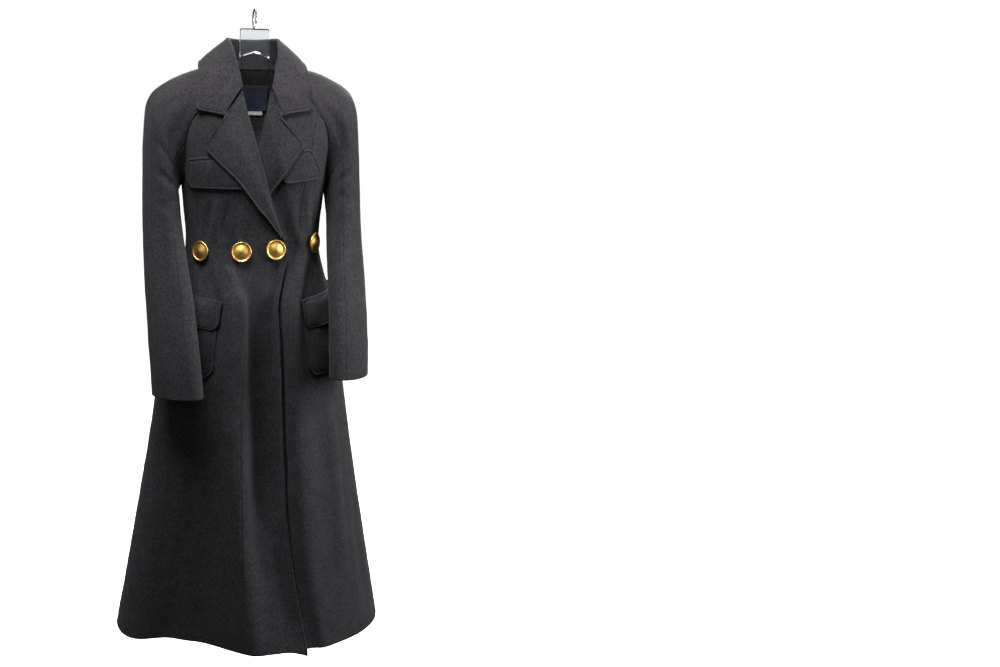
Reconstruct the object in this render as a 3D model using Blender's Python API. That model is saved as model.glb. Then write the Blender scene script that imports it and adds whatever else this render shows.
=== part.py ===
"""A long fitted wool coat with a half belt, hung on a clear hanger, at real size.

Metres, +Z up. The front faces -Y and the wearer's left is +X. The origin is the inside
top of the hanger's hook, where a rail carries it.

The body of the coat is one skin, read from a table of sections and a table of folds. A
place on it is a turn, in degrees from the front centre towards +X, and a height. Each
cloth piece is a wall on that skin between its own seams, and what is sewn on a piece is
made from the same skin, moved out.
"""

import math

import bmesh
import bpy
from mathutils import Matrix, Vector
from mathutils.bvhtree import BVHTree

WALL = 0.002  # thickness of the coating cloth
GAP = 0.0003  # between two pieces at a seam
SEAM_INSET = 0.00032  # of each panel from its seam line, so that bent walls stay apart
LAID = 0.0012  # under a piece that lies on another
CLOTH_SEAT = 0.0009  # at the nearest corner of a piece laid on others, whose edges bend
SEAT_REACH = 0.02  # how far a piece looks for what carries it
UNDER_DEPTH = 0.0106  # how far the under front lies below the over front
UNDER_FADE = 0.030  # width over which it comes back to the surface
TOP_FADE = 40  # power by which a panel's columns leave the spacing of its top line

HEM = -1.350
TIP_DROP = 0.012  # how much lower the over front's corner hangs
NECK_FRONT = -0.165  # where the roll line meets the collar
NECK_BACK = -0.114  # the neck seam at the centre back
BREAK = -0.475  # where the roll line meets the front edge

# Sections of the body: the squareness is the power of the superellipse.
# height, half width, front depth, back depth, squareness
SECTIONS = (
    (-0.100, 0.074, 0.052, 0.062, 2.2),
    (-0.125, 0.100, 0.058, 0.070, 2.4),
    (-0.150, 0.130, 0.066, 0.079, 2.6),
    (-0.180, 0.157, 0.075, 0.088, 2.8),
    (-0.210, 0.167, 0.084, 0.094, 3.0),
    (-0.260, 0.164, 0.096, 0.097, 3.0),
    (-0.320, 0.156, 0.105, 0.094, 2.8),
    (-0.400, 0.148, 0.105, 0.088, 2.5),
    (-0.483, 0.143, 0.102, 0.086, 2.4),
    (-0.540, 0.156, 0.112, 0.090, 2.3),
    (-0.600, 0.176, 0.128, 0.098, 2.2),
    (-0.680, 0.194, 0.141, 0.110, 2.1),
    (-0.780, 0.206, 0.151, 0.122, 2.0),
    (-0.950, 0.232, 0.168, 0.142, 2.0),
    (-1.150, 0.267, 0.184, 0.158, 2.0),
    (HEM, 0.303, 0.198, 0.172, 2.0),
)

# Folds of the front and of the back: a depth goes in, and a negative one comes out.
# height, centre, reach to -X, reach to +X, flat share, depth
FRONT_CHANNEL = (
    (-0.500, 0.000, 0.050, 0.056, 0.50, 0.000),
    (-0.560, 0.000, 0.042, 0.048, 0.55, 0.008),
    (-0.610, 0.000, 0.036, 0.040, 0.60, 0.016),
    (-0.700, 0.002, 0.038, 0.042, 0.55, 0.022),
    (-0.830, 0.012, 0.055, 0.042, 0.40, 0.034),
    (-1.000, 0.020, 0.068, 0.050, 0.30, 0.040),
    (-1.180, 0.028, 0.075, 0.062, 0.20, 0.026),
    (HEM, 0.040, 0.080, 0.080, 0.10, 0.004),
)
FRONT_RIDGE = (
    (-0.400, 0.098, 0.030, 0.030, 0.20, 0.000),
    (-0.483, 0.094, 0.028, 0.026, 0.30, -0.005),
    (-0.540, 0.078, 0.034, 0.030, 0.40, -0.010),
    (-0.600, 0.058, 0.034, 0.034, 0.50, -0.015),
    (-0.700, 0.062, 0.038, 0.040, 0.45, -0.013),
    (-0.820, 0.072, 0.046, 0.056, 0.30, -0.008),
    (-1.000, 0.086, 0.060, 0.070, 0.20, -0.006),
    (HEM, 0.120, 0.080, 0.090, 0.10, -0.004),
)
FRONT_HOLLOW = (  # on the wearer's right
    (-0.700, -0.115, 0.070, 0.080, 0.10, 0.000),
    (-0.850, -0.125, 0.085, 0.095, 0.10, 0.008),
    (-1.000, -0.135, 0.100, 0.115, 0.10, 0.026),
    (-1.180, -0.150, 0.125, 0.135, 0.12, 0.050),
    (HEM, -0.160, 0.145, 0.155, 0.14, 0.070),
)
BACK_VALLEY_LEFT = (
    (-0.460, 0.064, 0.022, 0.022, 0.20, 0.000),
    (-0.520, 0.066, 0.024, 0.026, 0.20, 0.014),
    (-0.600, 0.069, 0.026, 0.030, 0.20, 0.028),
    (-0.780, 0.073, 0.034, 0.040, 0.20, 0.062),
    (-1.000, 0.078, 0.047, 0.054, 0.22, 0.112),
    (-1.200, 0.082, 0.055, 0.064, 0.24, 0.155),
    (HEM, 0.086, 0.060, 0.068, 0.25, 0.184),
)
BACK_VALLEY_RIGHT = (  # mirrored
    (-0.460, 0.064, 0.022, 0.022, 0.20, 0.000),
    (-0.520, 0.066, 0.024, 0.026, 0.20, 0.014),
    (-0.600, 0.069, 0.026, 0.030, 0.20, 0.028),
    (-0.780, 0.071, 0.034, 0.040, 0.20, 0.062),
    (-1.000, 0.073, 0.045, 0.052, 0.22, 0.110),
    (-1.200, 0.073, 0.050, 0.062, 0.24, 0.144),
    (HEM, 0.073, 0.053, 0.068, 0.25, 0.166),
)
BACK_LOBE_LEFT = (
    (-0.560, 0.130, 0.024, 0.030, 0.10, 0.000),
    (-0.780, 0.150, 0.030, 0.036, 0.10, -0.008),
    (-1.000, 0.175, 0.045, 0.050, 0.10, 0.008),
    (HEM, 0.205, 0.090, 0.090, 0.35, 0.052),
)
BACK_LOBE_RIGHT = (  # mirrored
    (-0.560, 0.130, 0.024, 0.030, 0.10, 0.000),
    (-0.780, 0.150, 0.030, 0.040, 0.10, -0.012),
    (-1.000, 0.178, 0.045, 0.055, 0.10, -0.030),
    (HEM, 0.230, 0.075, 0.068, 0.12, -0.062),
)

# Seams and edges, as height and distance across.
OVER_EDGE = (
    (-0.134, -0.040),
    (-0.190, -0.032),
    (-0.280, -0.009),
    (-0.372, 0.017),
    (-0.430, 0.036),
    (BREAK, 0.053),
    (-0.500, 0.058),
    (-0.545, 0.046),
    (-0.600, 0.033),
    (-0.660, 0.034),
    (-0.800, 0.040),
    (-1.000, 0.050),
    (-1.170, 0.067),
    (HEM, 0.100),
)
UNDER_EDGE = (
    (-0.125, 0.031),
    (-0.232, 0.007),
    (-0.300, -0.008),
    (-0.372, -0.024),
    (BREAK, -0.048),
    (-0.545, -0.040),
    (-0.600, -0.031),
    (-0.800, -0.035),
    (HEM, -0.045),
)
FRONT_SEAM = (
    (-0.203, 0.122),
    (-0.280, 0.106),
    (-0.362, 0.090),
    (-0.476, 0.079),
    (-0.533, 0.062),
    (-0.588, 0.036),
    (-0.650, 0.035),
    (-0.800, 0.046),
    (-1.000, 0.046),
    (HEM, 0.040),
)
BACK_OUTER_SEAM = (
    (-0.178, 0.148),
    (-0.230, 0.118),
    (-0.285, 0.093),
    (-0.340, 0.083),
    (-0.400, 0.076),
    (-0.480, 0.080),
    (-0.600, 0.096),
    (-0.780, 0.116),
    (-1.000, 0.135),
    (HEM, 0.158),
)
BACK_INNER_SEAM = (
    (-0.157, 0.118),
    (-0.217, 0.085),
    (-0.270, 0.067),
    (-0.330, 0.040),
    (-0.420, 0.036),
    (-0.520, 0.038),
    (-0.780, 0.036),
    (-1.000, 0.032),
    (HEM, 0.028),
)
VENT_EDGE = (
    (-0.740, 0.000),
    (-0.780, 0.008),
    (-1.000, 0.012),
    (HEM, 0.018),
)
VENT_UNDER = (
    (-0.740, 0.000),
    (-0.780, -0.012),
    (HEM, -0.016),
)
VENT_TOP = -0.740
VENT_DEPTH = 0.0032  # how far the under layer of the vent lies below the over one

# The armhole seam, from the front of the neck round the underarm to the back of the neck.
# share of the way, distance across, height, turn at the underarm
SIDE_TURN = 95.0
UNDERARM = -0.357
ARMHOLE = (
    (0.00, 0.078, -0.122, "front"),
    (0.08, 0.100, -0.165, "front"),
    (0.16, 0.122, -0.203, "front"),
    (0.22, 0.138, -0.226, "front"),
    (0.29, 0.148, -0.257, "front"),
    (0.37, 0.151, -0.300, "front"),
    (0.44, 0.1505, -0.337, "front"),
    (0.50, None, UNDERARM, "side"),
    (0.56, 0.1505, -0.337, "back"),
    (0.64, 0.1525, -0.285, "back"),
    (0.71, 0.1570, -0.240, "back"),
    (0.77, 0.1570, -0.208, "back"),
    (0.83, 0.148, -0.178, "back"),
    (0.90, 0.118, -0.157, "back"),
    (0.95, 0.092, -0.136, "back"),
    (1.00, 0.067, -0.114, "back"),
)
FRONT_SEAM_SHARE, OUTER_SEAM_SHARE, INNER_SEAM_SHARE = 0.16, 0.83, 0.90

# Columns across each panel, as shares of its width, and which of them the sleeve meets.
FRONT_COLUMNS = (0.0, 0.06, 0.14, 0.26, 0.40, 0.50, 0.62, 0.76, 0.88, 0.95, 1.0)
FRONT_MEETS = (0, 1, 2, 3, 4, 5, 7, 10)
SIDE_FRONT_COLUMNS = tuple(step / 10 for step in range(11))
SIDE_FRONT_MEETS = (0, 2, 4, 6, 8, 10)
SIDE_BACK_COLUMNS = tuple(step / 6 for step in range(7))
SIDE_BACK_MEETS = (0, 1, 2, 3, 4, 5, 6)
BACK_SIDE_COLUMNS = tuple(step / 9 for step in range(10))
BACK_SIDE_MEETS = (0, 9)
BACK_COLUMNS = (0.0, 0.25, 0.5, 0.75, 1.0)
BACK_MEETS = (0, 1, 2, 3, 4)

# Rows down a body panel, as shares of the way from its top to the hem.
PANEL_ROWS = (
    0.0, 0.025, 0.06, 0.10, 0.14, 0.18, 0.22, 0.255, 0.29, 0.32, 0.35, 0.38,
    0.415, 0.46, 0.52, 0.60, 0.68, 0.76, 0.84, 0.92, 1.0,
)

# Sleeve rings: the outer point, the inner point, then the ring's own form. The last column
# is how much nearer the body the left sleeve lies.
# outer x, outer z, inner x, inner z, centre y, half depth, slant, squareness, left inward
SLEEVE_RINGS = (
    (0.078, -0.113, 0.1510, -0.357, 0.006, 0.050, 0.00, 2.3, 0.000),
    (0.112, -0.118, 0.1545, -0.359, 0.005, 0.056, 0.00, 2.3, 0.000),
    (0.150, -0.131, 0.1570, -0.361, 0.003, 0.062, 0.00, 2.2, 0.001),
    (0.188, -0.150, 0.1585, -0.364, 0.001, 0.066, 0.00, 2.2, 0.003),
    (0.213, -0.170, 0.1595, -0.368, -0.001, 0.068, 0.03, 2.2, 0.005),
    (0.226, -0.196, 0.1600, -0.373, -0.004, 0.068, 0.07, 2.2, 0.007),
    (0.231, -0.240, 0.1600, -0.382, -0.009, 0.066, 0.15, 2.1, 0.007),
    (0.234, -0.300, 0.1595, -0.400, -0.016, 0.062, 0.25, 2.1, 0.006),
    (0.236, -0.370, 0.1580, -0.430, -0.028, 0.056, 0.38, 2.0, 0.005),
    (0.237, -0.440, 0.1540, -0.475, -0.045, 0.050, 0.52, 2.0, 0.005),
    (0.237, -0.510, 0.1480, -0.530, -0.070, 0.046, 0.62, 2.0, 0.004),
    (0.236, -0.580, 0.1420, -0.590, -0.098, 0.043, 0.68, 2.0, 0.002),
    (0.234, -0.650, 0.1370, -0.655, -0.124, 0.041, 0.70, 2.0, 0.000),
    (0.231, -0.715, 0.1320, -0.718, -0.142, 0.040, 0.68, 2.0, -0.002),
    (0.228, -0.782, 0.1280, -0.774, -0.150, 0.040, 0.64, 2.0, -0.005),
)
CUFF_RAISED_LEFT = 0.032  # the wearer's left cuff hangs this much higher
SLEEVE_INSET = 0.0008  # of each sleeve piece from the sleeve seams
CAP_RINGS = 5  # rings over which the seam's own line fades into the sleeve's rings
FRONT_SLEEVE_SEAM, BACK_SLEEVE_SEAM = 4, 11  # columns of the sleeve that the seams follow
SLEEVE_GAP = 0.0011  # from the body's edge to the sleeve's
NECK_REACH = 14.0  # degrees of the sleeve's ring that lie on the neckline

# Collar, from the centre back to the gorge: its fold line and its outer edge.
# across right, across left, along, height, for the fold and then for the edge
COLLAR = (
    (0.0000, 0.0000, 0.0645, -0.0560, 0.0000, 0.0000, 0.0900, -0.1205),
    (0.0260, 0.0260, 0.0600, -0.0560, 0.0450, 0.0450, 0.0850, -0.1200),
    (0.0450, 0.0450, 0.0380, -0.0560, 0.0910, 0.0860, 0.0560, -0.1140),
    (0.0500, 0.0480, 0.0040, -0.0610, 0.1160, 0.1050, 0.0020, -0.1060),
    (0.0460, 0.0435, -0.0270, -0.0820, 0.1220, 0.1060, -0.0370, -0.1300),
    (0.0435, 0.0400, -0.0420, -0.1030, 0.1250, 0.1060, -0.0540, -0.1620),
    (0.0410, 0.0350, -0.0530, -0.1240, 0.1285, 0.1055, -0.0680, -0.1860),
    (0.0385, 0.0305, -0.0620, -0.1410, 0.1300, 0.1045, -0.0780, -0.2015),
    (0.0370, 0.0275, -0.0670, -0.1520, 0.1010, 0.0720, -0.0820, -0.2090),
    (0.0360, 0.0260, -0.0705, -0.1580, 0.0735, 0.0425, -0.0860, -0.2150),
)
COLLAR_CLEAR = 0.0052  # of the collar's middle from the cloth under it
STAND_GAP = 0.0016  # from the neck edge to the stand

# Lapels: where each row starts on the roll line, and where it ends on the outer edge.
# height on the roll line, across at the end, height at the end
LAPEL_RIGHT = (
    (-0.1668, -0.0735, -0.2205),
    (-0.196, -0.0930, -0.2510),
    (-0.218, -0.1130, -0.2815),
    (-0.245, -0.0860, -0.3105),
    (-0.290, -0.0530, -0.3430),
    (-0.335, -0.0220, -0.3820),
    (-0.380, 0.0070, -0.4170),
    (-0.425, 0.0320, -0.4480),
    (-0.466, 0.0470, -0.4665),
)
LAPEL_LEFT = (
    (-0.1668, 0.0395, -0.2235),
    (-0.216, 0.0635, -0.2495),
    (-0.240, 0.0870, -0.2755),
    (-0.264, 0.0650, -0.3070),
    (-0.294, 0.0420, -0.3410),
    (-0.326, 0.0180, -0.3760),
    (-0.360, -0.0060, -0.4040),
    (-0.395, -0.0220, -0.4200),
)
LAPEL_COLUMNS = (0.0, 0.08, 0.22, 0.42, 0.62, 0.82, 1.0)
LAPEL_BASE, LAPEL_LIFT = 0.0020, 0.0070  # at its roll and outside it, over the chest flap

# Chest flaps, from the top row down.
# across at the inner end, height there, across at the outer end, height there
CHEST_FLAP_RIGHT = (
    (-0.060, -0.291, -0.143, -0.3000),
    (-0.060, -0.315, -0.145, -0.3180),
    (-0.060, -0.340, -0.146, -0.3380),
    (-0.064, -0.364, -0.136, -0.3600),
)
CHEST_FLAP_LEFT = (
    (0.040, -0.2830, 0.105, -0.2800),
    (0.041, -0.3050, 0.118, -0.3040),
    (0.043, -0.3400, 0.128, -0.3270),
    (0.050, -0.3500, 0.122, -0.3410),
)
CHEST_COLUMNS = (0.0, 0.2, 0.4, 0.6, 0.8, 1.0)
CHEST_LAID = 0.0020  # under the chest flaps

# Hip pockets and their flaps, from the top row down.
# front across, front height, back across, back height, lift share
HIP_POCKET = (
    (0.083, -0.605, 0.128, -0.582, 0.00),
    (0.087, -0.620, 0.136, -0.597, 0.70),
    (0.091, -0.645, 0.147, -0.622, 1.00),
    (0.0945, -0.675, 0.156, -0.654, 1.00),
    (0.098, -0.706, 0.165, -0.688, 0.95),
    (0.101, -0.734, 0.173, -0.720, 0.60),
    (0.116, -0.750, 0.161, -0.740, 0.00),
)
HIP_FLAP = (
    (0.0800, -0.588, 0.1250, -0.555, 0.00),
    (0.0805, -0.594, 0.1255, -0.561, 0.40),
    (0.0820, -0.605, 0.1270, -0.572, 1.00),
    (0.0860, -0.638, 0.1310, -0.600, 1.06),
    (0.1040, -0.650, 0.1460, -0.612, 1.06),
)
HIP_COLUMNS = (0.0, 0.05, 0.12, 0.23, 0.35, 0.47, 0.59, 0.70, 0.80, 0.88, 0.95, 1.0)
POCKET_PUFF = 0.0060  # how far the bellows pocket stands off the hip
FLAP_STAND = 0.0088  # how far its flap does
POCKET_LAID, FLAP_LAID = 0.0027, 0.0040  # under the edges of each

# Half belt: where its sections lie, and its own curve.
BELT_OVER_SECTIONS = (-0.0755, -0.062, -0.048, -0.034, -0.020, -0.006, 0.008, 0.020, 0.030)
BELT_UNDER_SECTIONS = (-0.020, -0.008, 0.006, 0.020, 0.034, 0.048, 0.062, 0.0755)
BELT_REACH, BELT_TOP, BELT_BOTTOM, BELT_RISE = 0.0755, -0.417, -0.478, 0.0195
BELT_POINT = 0.008  # how far the free end comes to a point
BELT_LIFT = 0.0018  # lift of the belt from the back
BELT_LAP = 0.0048  # lift of the over belt where it laps the under one

# Buttons: across and height on the front, then a profile of radius and height.
FRONT_BUTTONS = ((-0.117, -0.490), (-0.040, -0.489), (0.031, -0.485), (0.117, -0.475))
BELT_BUTTON = (0.002, -0.448)
BUTTON_SEAT = 0.0024  # from the cloth to the foot of a button's shank
BIG_BUTTON = (
    (0.0032, 0.0000),
    (0.0032, 0.0030),
    (0.0196, 0.0036),
    (0.0210, 0.0052),
    (0.0198, 0.0074),
    (0.0172, 0.0062),
    (0.0090, 0.0070),
    (0.0045, 0.0094),
)
BIG_BUTTON_PEAK, BIG_BUTTON_SIDES = 0.0104, 18
CUFF_BUTTON = (
    (0.0022, 0.0000),
    (0.0022, 0.0012),
    (0.0066, 0.0015),
    (0.0072, 0.0028),
    (0.0058, 0.0042),
    (0.0030, 0.0038),
)
CUFF_BUTTON_PEAK, CUFF_BUTTON_SIDES = 0.0046, 12
CUFF_BUTTON_COLUMN = 12
CUFF_BUTTON_UP = (0.020, 0.036, 0.052)  # above the cuff's edge

# The tab on the back of the neck, the label inside it and the strip below the label.
# half width, top, bottom, thickness, tilt
TAB = (0.0285, -0.1455, -0.1585, 0.0025, 0.0015)
LABEL = (0.044, -0.150, -0.203, 0.0010, 0.0)
STRIP = (0.035, -0.2034, -0.213, 0.0008, 0.0)
INSIDE_GAP = 0.0024  # from the back's inner face to what is sewn there

# Hanger: sections of its half, from the centre out.
# across, top, bottom, half thickness
HANGER = (
    (0.000, -0.037, -0.085, 0.0060),
    (0.0285, -0.037, -0.094, 0.0060),
    (0.030, -0.039, -0.096, 0.0060),
    (0.0305, -0.098, -0.126, 0.0060),
    (0.060, -0.1110, -0.140, 0.0060),
    (0.090, -0.1212, -0.151, 0.0060),
    (0.120, -0.1300, -0.160, 0.0060),
    (0.150, -0.1400, -0.170, 0.0060),
    (0.178, -0.1530, -0.181, 0.0055),
    (0.194, -0.1660, -0.186, 0.0045),
    (0.198, -0.1740, -0.182, 0.0030),
)
HANGER_CHAMFER = 0.0025
HOOK_WIRE = 0.0019  # radius of the wire
HOOK_BEND = 0.0190  # radius of the crook, to the middle of the wire
HOOK_FLANGE = (0.0042, 0.0018)  # radius and height of the nut on the hanger
HOOK_STEM = ((0.0, -0.0364), (0.0, -0.0350), (0.0012, -0.0335), (0.0062, -0.0322))
HOOK_ANGLES = (-45, -30, -12, 8, 28, 48, 69, 90, 111, 132, 153, 174, 196, 214)
HOOK_SIDES = 10

MATERIALS = {
    # name: base colour, roughness, metallic
    "wool": ((0.035, 0.035, 0.038), 0.92, 0.0),
    "leather": ((0.34, 0.10, 0.035), 0.55, 0.0),
    "brass": ((0.70, 0.42, 0.10), 0.32, 1.0),
    "horn": ((0.02, 0.018, 0.018), 0.35, 0.0),
    "clear": ((0.80, 0.84, 0.86), 0.08, 0.0),
    "steel": ((0.45, 0.45, 0.46), 0.30, 1.0),
    "label": ((0.012, 0.018, 0.045), 0.70, 0.0),
    "tape": ((0.60, 0.60, 0.58), 0.80, 0.0),
}


def clear_scene():
    for thing in list(bpy.data.objects):
        bpy.data.objects.remove(thing, do_unlink=True)


def material(name):
    found = bpy.data.materials.get(name)
    if found:
        return found
    colour, roughness, metallic = MATERIALS[name]
    made = bpy.data.materials.new(name)
    made.use_nodes = True
    shader = made.node_tree.nodes["Principled BSDF"]
    shader.inputs["Base Color"].default_value = (*colour, 1.0)
    shader.inputs["Roughness"].default_value = roughness
    shader.inputs["Metallic"].default_value = metallic
    return made


def slope(rows, index, column):
    """The tangent of a smooth curve through a table's rows, at one row."""
    before = rows[max(index - 1, 0)]
    after = rows[min(index + 1, len(rows) - 1)]
    return (after[column] - before[column]) / (after[0] - before[0])


def read(rows, at):
    """The columns of a table at a place between its rows, on a smooth curve through them."""
    falling = rows[0][0] > rows[-1][0]
    inside = min(max(at, min(rows[0][0], rows[-1][0])), max(rows[0][0], rows[-1][0]))
    index = 0
    while index < len(rows) - 2 and (
        rows[index + 1][0] > inside if falling else rows[index + 1][0] < inside
    ):
        index += 1
    low, high = rows[index], rows[index + 1]
    span = high[0] - low[0]
    part = (inside - low[0]) / span
    ease_low = (1 + 2 * part) * (1 - part) ** 2
    ease_high = part * part * (3 - 2 * part)
    lead_low = part * (1 - part) ** 2 * span
    lead_high = part * part * (part - 1) * span
    return [
        ease_low * low[c]
        + ease_high * high[c]
        + lead_low * slope(rows, index, c)
        + lead_high * slope(rows, index + 1, c)
        for c in range(1, len(low))
    ]


def blend(first, second, share):
    return first + (second - first) * share


def soft_step(share):
    share = min(max(share, 0.0), 1.0)
    return share * share * (3 - 2 * share)


def fold(rows, across, height, side=1):
    """How far one fold moves the skin in at a place. A side of -1 mirrors it."""
    if height > rows[0][0]:
        return 0.0
    centre, reach_low, reach_high, flat, depth = read(rows, height)
    away = (across - centre * side) * side
    share = away / reach_high if away > 0 else -away / reach_low
    if share >= 1:
        return 0.0
    return depth * (1 - soft_step((share - flat) / (1 - flat)))


def front_folds(across, height):
    return (
        fold(FRONT_CHANNEL, across, height)
        + fold(FRONT_RIDGE, across, height)
        + fold(FRONT_RIDGE, across, height, -1)
        + fold(FRONT_HOLLOW, across, height)
    )


def back_folds(across, height):
    return (
        fold(BACK_VALLEY_LEFT, across, height)
        + fold(BACK_VALLEY_RIGHT, across, height, -1)
        + fold(BACK_LOBE_LEFT, across, height)
        + fold(BACK_LOBE_RIGHT, across, height, -1)
    )


def skin(turn, height):
    """The point of the coat's outer surface at a turn and a height."""
    half_width, front, back, square = read(SECTIONS, height)
    angle = math.radians(turn)
    side, fore = math.sin(angle), math.cos(angle)
    power = 2 / square
    across = math.copysign(half_width * abs(side) ** power, side)
    if fore > 0:
        along = -front * fore**power + front_folds(across, height)
    else:
        along = back * abs(fore) ** power - back_folds(across, height)
    return Vector((across, along, height))


def skin_normal(turn, height):
    """The way out of the surface, from points a little to each side."""
    round_it = skin(turn + 0.4, height) - skin(turn - 0.4, height)
    down_it = skin(turn, height - 0.003) - skin(turn, height + 0.003)
    return down_it.cross(round_it).normalized()


def raised(turn, height, out):
    return skin(turn, height) + skin_normal(turn, height) * out


def turn_of(across, height, face, centre=180.0):
    """The turn of a place given by its distance across, on the front or the back."""
    half_width, _, _, square = read(SECTIONS, height)
    share = min(abs(across) / half_width, 1.0)
    turn = math.copysign(math.degrees(math.asin(share ** (square / 2))), across)
    return turn if face == "front" else centre - turn


def front_seam(side):
    """The turn of the front's seam. Over its top it stays as it is there."""

    def turn(height):
        height = min(height, FRONT_SEAM[0][0])
        return turn_of(side * read(FRONT_SEAM, height)[0], height, "front")

    return turn


def back_seam(rows, side):
    """The turn of one of the back's seams. Over its top it stays as it is there."""

    def turn(height):
        height = min(height, rows[0][0])
        return turn_of(side * read(rows, height)[0], height, "back", side * 180.0)

    return turn


def side_seam(side):
    return lambda height: side * SIDE_TURN


def over_edge(height):
    return turn_of(read(OVER_EDGE, height)[0], height, "front")


def under_edge(height):
    return turn_of(read(UNDER_EDGE, height)[0], height, "front")


def vent_edge(rows, side):
    """The centre back seam, and below the vent's top the edge of one of its layers."""

    def turn(height):
        across = read(rows, height)[0] if height < VENT_TOP else 0.0
        return turn_of(across, height, "back", side * 180.0)

    return turn


def armhole_turns(side):
    rows = []
    for share, across, height, face in ARMHOLE:
        if face == "side":
            rows.append((share, side * SIDE_TURN, height))
        else:
            rows.append((share, turn_of(side * across, height, face, side * 180.0), height))
    return rows


def armhole(side, share):
    """The turn and height of the armhole seam at a share of its way."""
    return read(armhole_turns(side), share)


def arc_turn(turn, height, length):
    """The turn that covers a short length round the skin."""
    return length / (skin(turn + 0.5, height) - skin(turn - 0.5, height)).length


laid_cloth = {}  # the outer faces of the body and the sleeves, for the collar to lie on


def new_object(name, points, faces, finish, smooth=True):
    mesh = bpy.data.meshes.new(name)
    mesh.from_pydata([tuple(p) for p in points], [], faces)
    work = bmesh.new()
    work.from_mesh(mesh)
    bmesh.ops.recalc_face_normals(work, faces=work.faces)
    work.to_mesh(mesh)
    work.free()
    if smooth:
        mesh.shade_smooth()
        mesh.set_sharp_from_angle(angle=math.radians(40))
    made = bpy.data.objects.new(name, mesh)
    bpy.context.scene.collection.objects.link(made)
    mesh.materials.append(material(finish))
    return made


def halves(points, quad):
    """A quad's two triangles, cut along its shorter diagonal."""
    a, b, c, d = quad
    if (points[a] - points[c]).length <= (points[b] - points[d]).length:
        return (a, b, c), (a, c, d)
    return (a, b, d), (b, c, d)


def wall(name, outer, inner, finish="wool"):
    """A closed wall between two grids of the same rows and columns."""
    rows, columns = len(outer), len(outer[0])
    points = [p for grid in (outer, inner) for row in grid for p in row]
    under = rows * columns

    def at(row, column):
        return row * columns + column

    faces = []
    for row in range(rows - 1):
        for column in range(columns - 1):
            quad = (
                at(row, column),
                at(row, column + 1),
                at(row + 1, column + 1),
                at(row + 1, column),
            )
            for half in halves(points, quad):
                faces.append(half)
                faces.append(tuple(under + corner for corner in reversed(half)))
    rim = [at(0, column) for column in range(columns)]
    rim += [at(row, columns - 1) for row in range(1, rows)]
    rim += [at(rows - 1, column) for column in range(columns - 2, -1, -1)]
    rim += [at(row, 0) for row in range(rows - 2, 0, -1)]
    for here, there in zip(rim, rim[1:] + rim[:1]):
        faces.append((there, here, under + here, under + there))
    return new_object(name, points, faces, finish)


def under_sink(turn, height):
    """How far the under front and what joins it lie below the surface."""
    across = skin(turn, height).x
    beyond = across - read(OVER_EDGE, height)[0] - 0.012
    return UNDER_DEPTH * (1 - soft_step(beyond / UNDER_FADE))


def vent_sink(side, turn, height):
    """The left back lies below the right one where the vent overlaps."""
    if side < 0:
        return 0.0
    across = skin(turn, height).x
    below = soft_step((VENT_TOP + 0.12 - height) / 0.06)
    return VENT_DEPTH * below * (1 - soft_step((across - 0.024) / 0.02))


def panel(name, low_seam, high_seam, top, columns, meets, sink=None, drop=0.0):
    """A body panel between two seams, from its top line down to the hem.

    The top gives the turn and height at a share of the way across. Its top points between
    those that a coarser edge meets lie straight between them. The drop lowers the hem
    at the low seam.
    """
    tops = [top(share) for share in columns]
    outer, inner = [], []
    for row_share in PANEL_ROWS:
        outer_row, inner_row = [], []
        for share, (top_turn, top_height) in zip(columns, tops):
            hem = HEM - drop * max(0.0, 1 - share / 0.4) ** 2
            height = blend(top_height, hem, row_share)
            turn = blend(low_seam(height), high_seam(height), share)
            straight = blend(low_seam(top_height), high_seam(top_height), share)
            turn += (top_turn - straight) * (1 - row_share) ** TOP_FADE
            if share in (0.0, 1.0):
                inwards = math.copysign(1, high_seam(height) - low_seam(height))
                inset = arc_turn(turn, height, SEAM_INSET) * inwards
                turn += inset if share == 0.0 else -inset
            depth = sink(turn, height) if sink else 0.0
            normal = skin_normal(turn, height)
            place = skin(turn, height)
            outer_row.append(place - normal * depth)
            inner_row.append(place - normal * (depth + WALL))
        outer.append(outer_row)
        inner.append(inner_row)
    straighten(outer[0], meets)
    straighten(inner[0], meets)
    keep_outer(name, outer, lambda middle: Vector((0, 0, middle.z)))
    return wall(name, outer, inner)


def straighten(row, meets):
    """Puts each point between two kept ones on the line between them."""
    for low, high in zip(meets, meets[1:]):
        for index in range(low + 1, high):
            row[index] = row[low].lerp(row[high], (index - low) / (high - low))


def seam_stretch(side, first, last):
    """A top line that follows the armhole seam from one share to another."""
    return lambda share: armhole(side, blend(first, last, share))


def front_top(side):
    """The front's top: up the neckline from the roll line, then down the armhole seam."""
    edge = OVER_EDGE if side < 0 else UNDER_EDGE
    start = turn_of(read(edge, NECK_FRONT)[0], NECK_FRONT, "front")
    neck_turn, neck_height = armhole(side, 0.0)

    def top(share):
        if share < 0.5:
            part = share / 0.5
            return blend(start, neck_turn, part), blend(NECK_FRONT, neck_height, part)
        return armhole(side, blend(0.0, FRONT_SEAM_SHARE, (share - 0.5) / 0.5))

    return top


def back_top(side):
    """The back's top: the armhole seam to the neck, then the neckline to the centre."""
    neck_turn, neck_height = armhole(side, 1.0)

    def top(share):
        if share < 0.5:
            return armhole(side, blend(INNER_SEAM_SHARE, 1.0, share / 0.5))
        part = (share - 0.5) / 0.5
        return blend(neck_turn, side * 180.0, part), blend(neck_height, NECK_BACK, part)

    return top


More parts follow.
